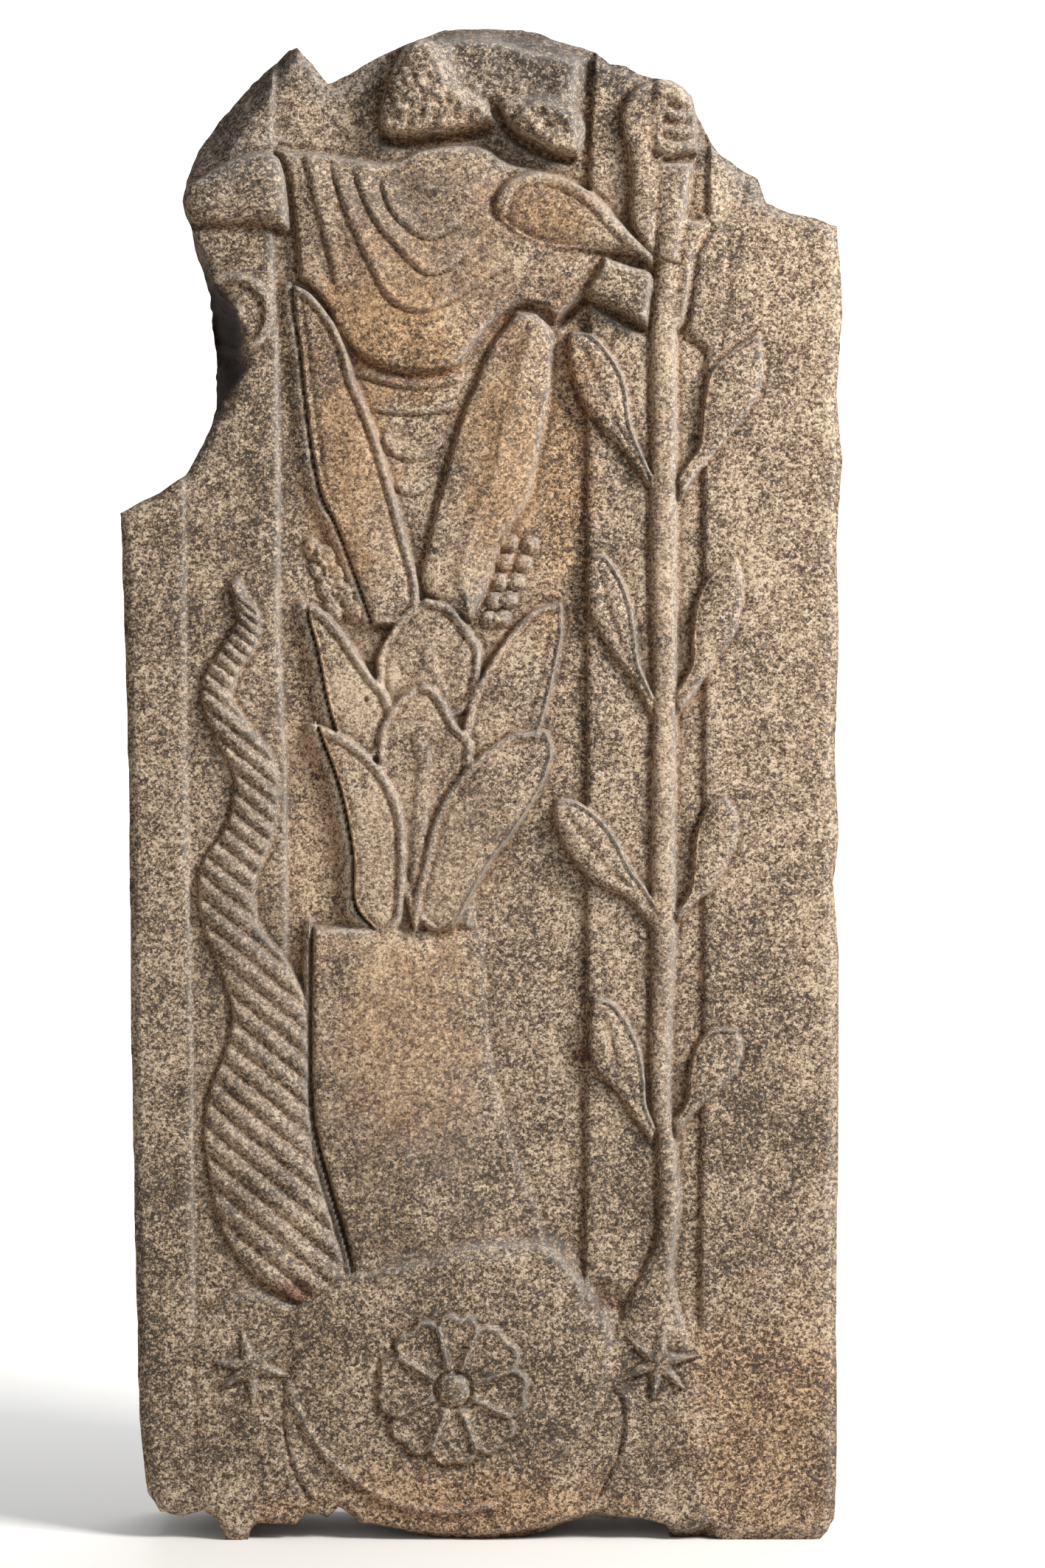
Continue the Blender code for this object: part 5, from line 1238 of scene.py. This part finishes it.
def weathering_tree(material):
    """Geometry nodes that wear a surface: softly all over, and roughly where it is marked rough."""
    tree = bpy.data.node_groups.new("weathered_surface", "GeometryNodeTree")
    socket = tree.interface.new_socket
    socket("Geometry", in_out="INPUT", socket_type="NodeSocketGeometry")
    inputs = {}
    for name, value in (("Weather Depth", WEATHER_DEPTH), ("Weather Size", WEATHER_SIZE),
                        ("Rough Depth", ROUGH_DEPTH), ("Rough Size", ROUGH_SIZE),
                        ("Seed", WEATHER_SEED)):
        made = socket(name, in_out="INPUT", socket_type="NodeSocketFloat")
        made.default_value = value
        inputs[name] = (made.identifier, value)
    socket("Geometry", in_out="OUTPUT", socket_type="NodeSocketGeometry")
    nodes, links = tree.nodes, tree.links
    given = nodes.new("NodeGroupInput")
    result = nodes.new("NodeGroupOutput")

    def lumps(size_name, detail):
        scale = nodes.new("ShaderNodeMath")
        scale.operation = "DIVIDE"
        scale.inputs[0].default_value = 1.0
        links.new(given.outputs[size_name], scale.inputs[1])
        noise = nodes.new("ShaderNodeTexNoise")
        noise.noise_dimensions = "4D"
        noise.inputs["Detail"].default_value = detail
        links.new(given.outputs["Seed"], noise.inputs["W"])
        links.new(scale.outputs[0], noise.inputs["Scale"])
        return noise.outputs["Fac"]

    def times(first, second):
        product = nodes.new("ShaderNodeMath")
        product.operation = "MULTIPLY"
        links.new(first, product.inputs[0])
        links.new(second, product.inputs[1])
        return product.outputs[0]

    def mark(name):
        made = nodes.new("GeometryNodeInputNamedAttribute")
        made.data_type = "FLOAT"
        made.inputs["Name"].default_value = name
        return made.outputs["Attribute"]

    total = nodes.new("ShaderNodeMath")
    total.operation = "ADD"
    links.new(times(lumps("Weather Size", 2.0), given.outputs["Weather Depth"]), total.inputs[0])
    links.new(times(times(lumps("Rough Size", 3.0), given.outputs["Rough Depth"]), mark("rough")),
              total.inputs[1])
    normal = nodes.new("GeometryNodeInputNormal")
    sink = nodes.new("ShaderNodeVectorMath")
    sink.operation = "SCALE"
    inverse = nodes.new("ShaderNodeMath")
    inverse.operation = "MULTIPLY"
    inverse.inputs[1].default_value = -1.0
    links.new(times(total.outputs[0], mark("loose")), inverse.inputs[0])
    links.new(normal.outputs[0], sink.inputs[0])
    links.new(inverse.outputs[0], sink.inputs["Scale"])
    move = nodes.new("GeometryNodeSetPosition")
    links.new(given.outputs["Geometry"], move.inputs["Geometry"])
    links.new(sink.outputs[0], move.inputs["Offset"])
    realize = nodes.new("GeometryNodeRealizeInstances")
    links.new(move.outputs[0], realize.inputs[0])
    paint = nodes.new("GeometryNodeSetMaterial")
    paint.inputs["Material"].default_value = material
    links.new(realize.outputs[0], paint.inputs["Geometry"])
    links.new(paint.outputs[0], result.inputs[0])
    return tree, inputs


def marked(mesh, name, values):
    attribute = mesh.attributes.new(name, "FLOAT", "POINT")
    attribute.data.foreach_set("value", np.asarray(values, np.float32))


def coordinates(mesh):
    flat = np.empty(3 * len(mesh.vertices), np.float32)
    mesh.vertices.foreach_get("co", flat)
    return flat.reshape(-1, 3).astype(float)


def beyond(y, face, span):
    """0 before a depth behind a face, and 1 once it has grown over the next stretch."""
    start, growth = span
    return eased((y - face - start) / growth)


def roughness_of(points):
    """How rough each point of the unworn mesh is: 1 on breaks, sides and back, 0 on the carving."""
    x, y, z = points.T
    broken = broken_share(x, z) * beyond(y, FACE_Y, BREAK_ROUGHNESS)
    rough = np.maximum(broken, beyond(y, FACE_Y, SIDE_ROUGHNESS))
    return rough * (1.0 - BACK_SMOOTHNESS * beyond(y, BACK_Y, BACK_DRESSING))


def worn(mesh, material):
    """The mesh thinned out where it is flat, and then weathered."""
    points = coordinates(mesh)
    marked(mesh, "rough", roughness_of(points))
    marked(mesh, "loose", eased(points[:, 2] / FOOT_CONTACT))
    piece = bpy.data.objects.new("relief_panel_stone", mesh)
    bpy.context.scene.collection.objects.link(piece)
    thin = piece.modifiers.new("thin_flats", "DECIMATE")
    triangles = sum(len(face.vertices) - 2 for face in mesh.polygons)
    thin.ratio = min(1.0, STONE_FACES / triangles)
    tree, inputs = weathering_tree(material)
    weather = piece.modifiers.new("weathering", "NODES")
    weather.node_group = tree
    for identifier, value in inputs.values():
        weather[identifier] = value
    shapes = bpy.context.evaluated_depsgraph_get()
    finished = bpy.data.meshes.new_from_object(piece.evaluated_get(shapes))
    for modifier in (thin, weather):
        piece.modifiers.remove(modifier)
    within = np.clip(coordinates(finished), LOW, HIGH)
    finished.vertices.foreach_set("co", within.astype(np.float32).ravel())
    finished.update()
    piece.data = finished
    return piece


# Rough crusts on the carving: middle and reach in drawn millimetres, depth in metres.
CRUSTS = [
    ((-75, 1760), (60, 62), 0.0050),
    ((50, 1785), (95, 55), 0.0036),
    ((78, 1722), (52, 40), 0.0050),
    ((236, 1732), (40, 60), 0.0042),
    ((143, 300), (36, 40), 0.0060),
    ((-262, 1745), (60, 80), 0.0030),
]

# Stains and tints, and a few patches of painted shade and painted light: middle and reach in drawn
# millimetres, strength. The painted shade in the deep side hollow also lies on the sides.
STAINS_AND_PAINTED_LIGHT = {
    # Painted shade in the deep hollow of the broken left side.
    "hollow_shade": [
        ((-322, 1450), (28, 95), 1.0),
    ],
    "dark": [
        ((-368, 235), (75, 200), 0.55), ((160, 215), (130, 230), 0.55),
        ((-260, 1420), (40, 130), 0.30), ((-165, 1660), (110, 60), 0.25),
        ((326, 574), (75, 160), 0.75), ((-34, 186), (100, 100), 0.60),
        ((-381, 529), (50, 120), 0.40), ((-313, 1690), (45, 45), 0.80),
        ((-304, 1312), (60, 140), 0.35), ((-394, 1150), (45, 160), 0.45),
        ((-57, 435), (120, 80), 0.70), ((-57, 237), (200, 120), 0.45),
        ((68, 1790), (105, 62), 0.95), ((357, 147), (90, 140), 0.30), ((48, 165), (72, 120), 1.0),
        ((-318, 165), (60, 115), 0.80), ((310, 97), (36, 60), 0.80), ((-130, 1655), (60, 42), 0.80),
        ((100, 1300), (30, 110), 0.40), ((-345, 1240), (60, 60), 0.50),
        ((-400, 350), (42, 150), 1.0), ((-262, 1370), (40, 130), 1.0), ((70, 1610), (55, 32), 0.35),
        ((147, 292), (20, 17), 0.6),
    ],
    "warm": [
        ((-106, 1474), (100, 90), 0.7), ((-160, 1321), (45, 140), 0.6),
        ((33, 1330), (50, 140), 0.6), ((-93, 619), (70, 120), 0.4), ((-205, 862), (30, 200), 0.25),
        ((357, 147), (90, 140), 0.45), ((101, 1294), (35, 200), 0.6), ((70, 1610), (70, 40), 0.6),
        ((-34, 40), (200, 50), 0.5),
    ],
    # Mostly paler stone. The two patches at (-155, 950) and (-207, 862) are painted light on the
    # slopes left of the lower leaves, which are turned from the light.
    "pale": [
        ((366, 1339), (90, 260), 0.4), ((366, 900), (80, 220), 0.3), ((224, 1100), (16, 420), 1.0),
        ((275, 79), (14, 70), 0.6), ((-60, 980), (110, 110), 0.4), ((-155, 950), (55, 270), 1.0),
        ((-207, 862), (22, 110), 1.0), ((-170, 1745), (60, 60), 0.6), ((-318, 1690), (34, 70), 1.0),
        ((-122, 1805), (40, 34), 0.9), ((222, 1400), (30, 220), 0.9), ((165, 1595), (34, 50), 1.0),
        ((-90, 1163), (64, 38), 1.0), ((15, 1080), (45, 45), 0.8), ((310, 1200), (36, 72), 1.0),
        ((165, 807), (30, 50), 0.8), ((240, 523), (26, 50), 0.8), ((-370, 910), (60, 72), 0.7),
        ((-150, 748), (62, 50), 1.0), ((-395, 665), (36, 42), 0.7), ((-325, 1650), (45, 50), 0.5),
        ((315, 1220), (16, 14), 1.0),
    ],
    "blue": [
        ((42, 1789), (130, 50), 0.6), ((-313, 1690), (60, 60), 0.8),
    ],
    "rust": [
        ((121, 587), (14, 12), 0.7), ((-227, 303), (26, 13), 0.65), ((147, 290), (16, 14), 0.55),
    ],
    "smooth": [
        ((-60, 1560), (160, 120), 0.8), ((110, 1620), (110, 50), 0.7),
        ((-150, 1320), (60, 200), 0.7), ((20, 1320), (60, 190), 0.7),
        ((-70, 1010), (120, 130), 0.5), ((-70, 830), (110, 120), 0.7),
        ((-110, 570), (120, 170), 0.8), ((222, 1000), (25, 700), 0.6),
        ((-280, 700), (60, 420), 0.5),
    ],
}


def stain_and_light_map(kind, x, z):
    """Strength of one kind of patch at some points, with ragged edges: stains, and a few patches of
    painted shade and painted light.
    """
    ragged = layered_noise(x, z, PATCH_EDGES, PATCH_SHARES, PATCH_SEEDS)
    total = np.zeros(x.shape)
    for centre, reach, strength in STAINS_AND_PAINTED_LIGHT[kind]:
        (cx, cz), (rx, rz) = drawn([centre, reach])
        away = np.hypot((x - cx) / rx, (z - cz) / rz)
        total = np.maximum(total, strength * (1.0 - eased(away + ragged - 0.5)))
    return total


def coloured(piece, front):
    """Marks on the finished mesh that the stone's colour follows, painted shade and painted
    highlight among them.
    """
    x, y, z = coordinates(piece.data).T
    facing = 1.0 - beyond(y, FACE_Y, FRONT_COLOUR)
    for name in ("patina_and_shade", "raised", "low_ground"):
        marked(piece.data, name, front.sampled(getattr(front, name), x, z) * facing)
    for kind in STAINS_AND_PAINTED_LIGHT:
        # The painted shade of the side hollow is kept on the sides too, and the other patches only
        # on the front.
        shown = 1.0 if kind == "hollow_shade" else facing
        marked(piece.data, kind, stain_and_light_map(kind, x, z) * shown)
    breaks = broken_share(x, z) * beyond(y, FACE_Y, BREAK_COLOUR)
    marked(piece.data, "broken", np.maximum(1.0 - facing, breaks))
    for name in ("rough", "loose"):
        piece.data.attributes.remove(piece.data.attributes[name])


# Tones of the speckle from its darkest crystals to its palest.
SPECKLE = [
    (0.06, (0.036, 0.025, 0.018, 1.0)), (0.28, (0.104, 0.073, 0.050, 1.0)),
    (0.50, (0.228, 0.162, 0.107, 1.0)), (0.72, (0.370, 0.272, 0.178, 1.0)),
    (0.95, (0.55, 0.450, 0.330, 1.0)),
]
SPECKLE_MIDDLE = 0.52
FINE_GRAIN = 0.0015             # crystals, in metres
COARSE_GRAIN = 0.0030
CLUSTER_SCALE = 150.0
BLOTCH_SCALE = 13.0
GRAIN_TONE = 0.5                # share of each grain in the tone
CLUSTER_TONE = 0.80
BLOTCH_TONE = 0.70
CONTRAST = 1.5
DARKENING = -0.25
EVENING = 0.45                  # how much of its contrast a smooth patch loses
DARK_STAIN = -0.20
# Lift of the pale patches, a few of which are painted light on slopes turned from the light.
PALE_AND_LIT_LIFT = 0.14

# How strongly the tints show, the stone's sheen, and its bumps.
# Share of the darker, browner tint on ground lying below its surroundings.
LOW_GROUND_SHARE = 0.6
# Share of the patina in the creases, which also carries painted shade on slopes turned from the
# light.
PATINA_AND_SHADE_SHARE = 0.70
# Share of the grey bloom on proud edges, which also carries painted highlight on slopes turned to
# the light.
BLOOM_AND_HIGHLIGHT_SHARE = 0.75
BREAK_SHARE = 0.7
ROUGHNESS = 0.72
GRAIN_ROUGHNESS = 0.22
SPECULAR = 0.35
BUMP_STRENGTH = 0.6
BUMP_HEIGHT = 0.0012
FINE_BUMP = 0.4
COARSE_BUMP = 0.6
CLUSTER_BUMP = 1.2

# Tints that are multiplied into the stone's colour, and the grey bloom on what stands proud, which
# also carries painted highlight on slopes turned to the light.
WARM_TINT = (1.14, 0.90, 0.66, 1.0)
# Darker, browner tint on ground lying below its surroundings.
LOW_GROUND_TINT = (0.80, 0.62, 0.44, 1.0)
# Patina in the creases, which also carries painted shade on slopes turned from the light.
PATINA_AND_SHADE_TINT = (0.45, 0.27, 0.13, 1.0)
COLD_TINT = (0.84, 0.92, 1.10, 1.0)
BREAK_TINT = (0.70, 0.69, 0.70, 1.0)
RUST_TINT = (0.42, 0.16, 0.08, 1.0)
# Painted shade in the deep hollow of the broken left side.
HOLLOW_SHADE_TINT = (0.09, 0.050, 0.028, 1.0)
BLOOM_AND_HIGHLIGHT = (0.335, 0.325, 0.315, 1.0)


class Shading:
    """Short ways to place and join the nodes of one tree."""

    def __init__(self, tree):
        self.tree = tree

    def node(self, kind, **values):
        made = self.tree.nodes.new(kind)
        for name, value in values.items():
            setattr(made, name, value)
        return made

    def set(self, socket, value):
        if isinstance(value, bpy.types.NodeSocket):
            self.tree.links.new(value, socket)
        else:
            socket.default_value = value

    def math(self, operation, first, second=0.0, clamp=False):
        made = self.node("ShaderNodeMath", operation=operation, use_clamp=clamp)
        self.set(made.inputs[0], first)
        self.set(made.inputs[1], second)
        return made.outputs[0]

    def mix(self, share, first, second, blend="MIX"):
        made = self.node("ShaderNodeMix", data_type="RGBA", blend_type=blend)
        self.set(made.inputs[0], share)
        self.set(made.inputs[6], first)
        self.set(made.inputs[7], second)
        return made.outputs[2]

    def plus(self, base, value, factor):
        """A value with a share of another added to it."""
        return self.math("ADD", base, self.math("MULTIPLY", value, factor))

    def centred(self, value):
        return self.math("SUBTRACT", value, 0.5)

    def tinted(self, share, colour, tint):
        """A colour with a share of a tint multiplied into it."""
        return self.mix(share, colour, self.mix(1.0, colour, tint, "MULTIPLY"))

    def ramp(self, value, stops):
        made = self.node("ShaderNodeValToRGB")
        ramp = made.color_ramp
        while len(ramp.elements) < len(stops):
            ramp.elements.new(0.5)
        for element, (place, colour) in zip(ramp.elements, stops):
            element.position = place
            element.color = colour
        self.set(made.inputs[0], value)
        return made.outputs[0]

    def noise(self, place, scale, detail=2.0, roughness=0.5):
        made = self.node("ShaderNodeTexNoise")
        self.set(made.inputs["Vector"], place)
        self.set(made.inputs["Scale"], scale)
        self.set(made.inputs["Detail"], detail)
        self.set(made.inputs["Roughness"], roughness)
        return made.outputs["Fac"]

    def mark(self, name):
        return self.node("ShaderNodeAttribute", attribute_name=name).outputs["Fac"]


def mineral_grain():
    """Crystals of one size as a group: a random tone for each, and their bumps."""
    tree = bpy.data.node_groups.new("mineral_grain", "ShaderNodeTree")
    tree.interface.new_socket("Place", in_out="INPUT", socket_type="NodeSocketVector")
    tree.interface.new_socket("Grain Size", in_out="INPUT", socket_type="NodeSocketFloat")
    tree.interface.new_socket("Tone", in_out="OUTPUT", socket_type="NodeSocketFloat")
    tree.interface.new_socket("Bump", in_out="OUTPUT", socket_type="NodeSocketFloat")
    shade = Shading(tree)
    given, result = shade.node("NodeGroupInput"), shade.node("NodeGroupOutput")
    scale = shade.math("DIVIDE", 1.0, given.outputs["Grain Size"])
    wobble = shade.node("ShaderNodeTexNoise")
    shade.set(wobble.inputs["Vector"], given.outputs["Place"])
    shade.set(wobble.inputs["Scale"], shade.math("MULTIPLY", scale, 0.8))
    offset = shade.node("ShaderNodeVectorMath", operation="SCALE")
    shade.set(offset.inputs[0], wobble.outputs["Color"])
    shade.set(offset.inputs["Scale"], shade.math("MULTIPLY", given.outputs["Grain Size"], 0.7))
    moved = shade.node("ShaderNodeVectorMath", operation="ADD")
    shade.set(moved.inputs[0], given.outputs["Place"])
    shade.set(moved.inputs[1], offset.outputs[0])
    cells = shade.node("ShaderNodeTexVoronoi")
    shade.set(cells.inputs["Vector"], moved.outputs[0])
    shade.set(cells.inputs["Scale"], scale)
    parted = shade.node("ShaderNodeSeparateColor")
    shade.set(parted.inputs[0], cells.outputs["Color"])
    shade.set(result.inputs["Tone"], parted.outputs[0])
    shade.set(result.inputs["Bump"], shade.math("SUBTRACT", 1.0, cells.outputs["Distance"]))
    return tree


def stone_material():
    """Weathered granular stone: speckle, patina in the creases with painted shade, stains, grey
    bloom with painted highlight, painted shade in the deep side hollow, and grey breaks.
    """
    material = bpy.data.materials.new("weathered_stone")
    material.use_nodes = True
    tree = material.node_tree
    surface = tree.nodes["Principled BSDF"]
    shade = Shading(tree)
    place = shade.node("ShaderNodeTexCoord").outputs["Object"]
    grain = mineral_grain()

    def grains(size):
        made = shade.node("ShaderNodeGroup", node_tree=grain)
        shade.set(made.inputs["Place"], place)
        shade.set(made.inputs["Grain Size"], size)
        return made

    fine, coarse = grains(FINE_GRAIN), grains(COARSE_GRAIN)
    clusters = shade.noise(place, CLUSTER_SCALE, 3.0, 0.6)
    blotches = shade.noise(place, BLOTCH_SCALE, 4.0, 0.6)
    tone = shade.math("MULTIPLY", fine.outputs["Tone"], GRAIN_TONE)
    tone = shade.plus(tone, coarse.outputs["Tone"], GRAIN_TONE)
    tone = shade.plus(tone, shade.centred(clusters), CLUSTER_TONE)
    tone = shade.plus(tone, shade.centred(blotches), BLOTCH_TONE)
    tone = shade.math("ADD", shade.math("MULTIPLY", tone, CONTRAST), DARKENING)
    evening = shade.math("MULTIPLY", shade.math("SUBTRACT", SPECKLE_MIDDLE, tone), EVENING)
    tone = shade.plus(tone, evening, shade.mark("smooth"))
    tone = shade.plus(tone, shade.mark("dark"), DARK_STAIN)
    # Pale patches, a few of them painted light on slopes turned from the light.
    tone = shade.plus(tone, shade.mark("pale"), PALE_AND_LIT_LIFT)
    colour = shade.ramp(tone, SPECKLE)
    colour = shade.tinted(shade.mark("warm"), colour, WARM_TINT)
    # Darker, browner on ground lying below its surroundings.
    low_ground_share = shade.math("MULTIPLY", shade.mark("low_ground"), LOW_GROUND_SHARE)
    colour = shade.tinted(low_ground_share, colour, LOW_GROUND_TINT)
    # Patina in the creases, with painted shade on slopes turned from the light.
    patina_and_shade_share = shade.math("MULTIPLY", shade.mark("patina_and_shade"), PATINA_AND_SHADE_SHARE)
    colour = shade.tinted(patina_and_shade_share, colour, PATINA_AND_SHADE_TINT)
    grey = shade.math("MULTIPLY", shade.mark("broken"), BREAK_SHARE)
    colour = shade.tinted(shade.math("MAXIMUM", shade.mark("blue"), grey), colour, COLD_TINT)
    # Grey bloom on proud edges, with painted highlight on slopes turned to the light.
    bloom_and_highlight = shade.mix(0.5, colour, BLOOM_AND_HIGHLIGHT)
    colour = shade.mix(shade.math("MULTIPLY", shade.mark("raised"), BLOOM_AND_HIGHLIGHT_SHARE), colour, bloom_and_highlight)
    colour = shade.tinted(grey, colour, BREAK_TINT)
    colour = shade.tinted(shade.mark("rust"), colour, RUST_TINT)
    # Painted shade in the deep side hollow.
    colour = shade.tinted(shade.mark("hollow_shade"), colour, HOLLOW_SHADE_TINT)
    shade.set(surface.inputs["Base Color"], colour)
    surface.inputs["Metallic"].default_value = 0.0
    roughness = shade.plus(ROUGHNESS, coarse.outputs["Tone"], GRAIN_ROUGHNESS)
    shade.set(surface.inputs["Roughness"], roughness)
    surface.inputs["Specular IOR Level"].default_value = SPECULAR
    bump = shade.node("ShaderNodeBump")
    bump.inputs["Strength"].default_value = BUMP_STRENGTH
    bump.inputs["Distance"].default_value = BUMP_HEIGHT
    relief = shade.math("MULTIPLY", fine.outputs["Bump"], FINE_BUMP)
    relief = shade.plus(relief, coarse.outputs["Bump"], COARSE_BUMP)
    relief = shade.plus(relief, clusters, CLUSTER_BUMP)
    shade.set(bump.inputs["Height"], relief)
    shade.set(surface.inputs["Normal"], bump.outputs["Normal"])
    return material


# The studio, in metres and watts: the curved sheet, the lights and the camera.
SWEEP_HALF_WIDTH = 9.0
SWEEP_FRONT_Y = -8.0
SWEEP_WALL_Y = 7.0
SWEEP_BEND = 2.5
SWEEP_TOP = 8.0
STONE_MIDDLE = (0.0, FACE_Y, 0.95)
# Lights: name, place, target, size, power, colour.
LIGHTS = [
    ("key_light", (2.6, -1.9, 3.0), STONE_MIDDLE, 1.2, 235.0, (1.0, 0.97, 0.93)),
    ("fill_light", (-2.6, -3.4, 1.6), STONE_MIDDLE, 2.5, 18.0, (0.94, 0.97, 1.0)),
    ("backdrop_light", (0.0, 3.0, 5.2), (0.0, SWEEP_WALL_Y, 1.2), 3.0, 360.0, (1.0, 1.0, 1.0)),
]
DAYLIGHT = 0.28
LENS = 85.45                    # millimetres, on a film 36 mm wide
FILM_WIDTH = 36.0


def plain_material(name, colour, roughness):
    material = bpy.data.materials.new(name)
    material.use_nodes = True
    surface = material.node_tree.nodes["Principled BSDF"]
    surface.inputs["Base Color"].default_value = (*colour, 1.0)
    surface.inputs["Roughness"].default_value = roughness
    return material


def studio_sweep():
    """A pale floor that rises behind the stone as one curved sheet."""
    centre_y = SWEEP_WALL_Y - SWEEP_BEND
    bend = [(centre_y + SWEEP_BEND * math.sin(turn), SWEEP_BEND * (1.0 - math.cos(turn)))
            for turn in np.linspace(0.0, math.pi / 2, 17)]
    profile = [(SWEEP_FRONT_Y, 0.0)] + bend + [(SWEEP_WALL_Y, SWEEP_TOP)]
    vertices = [(side * SWEEP_HALF_WIDTH, y, z) for y, z in profile for side in (-1, 1)]
    faces = [(2 * i, 2 * i + 1, 2 * i + 3, 2 * i + 2) for i in range(len(profile) - 1)]
    mesh = bpy.data.meshes.new("studio_sweep")
    mesh.from_pydata(vertices, [], faces)
    mesh.shade_smooth()
    mesh.materials.append(plain_material("pale_floor", (0.86, 0.86, 0.85), 0.85))
    sweep = bpy.data.objects.new("studio_sweep", mesh)
    bpy.context.scene.collection.objects.link(sweep)


def area_light(name, place, target, size, power, colour):
    data = bpy.data.lights.new(name, "AREA")
    data.shape = "SQUARE"
    data.size = size
    data.energy = power
    data.color = colour
    lamp = bpy.data.objects.new(name, data)
    lamp.location = place
    lamp.rotation_euler = (Vector(target) - Vector(place)).to_track_quat("-Z", "Y").to_euler()
    bpy.context.scene.collection.objects.link(lamp)


def studio_light():
    world = bpy.data.worlds.new("soft_daylight")
    world.use_nodes = True
    background = world.node_tree.nodes["Background"]
    background.inputs["Color"].default_value = (1.0, 1.0, 1.0, 1.0)
    background.inputs["Strength"].default_value = DAYLIGHT
    bpy.context.scene.world = world
    for lamp in LIGHTS:
        area_light(*lamp)


def camera():
    """The photograph's view: square on to the slab, level with its middle."""
    data = bpy.data.cameras.new("camera")
    data.lens = LENS
    data.sensor_width = FILM_WIDTH
    viewer = bpy.data.objects.new("camera", data)
    viewer.location = (VIEW_X, FACE_Y - VIEW_DISTANCE, VIEW_Z)
    viewer.rotation_euler = (math.pi / 2, 0.0, 0.0)
    bpy.context.scene.collection.objects.link(viewer)
    bpy.context.scene.camera = viewer


def main():
    bpy.context.scene.view_settings.view_transform = "Standard"
    camera()
    studio_light()
    studio_sweep()
    front, mesh = carved_stone()
    piece = worn(mesh, stone_material())
    coloured(piece, front)
    piece.data.shade_smooth()
    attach(piece, "root")
    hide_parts("relief_panel")


main()
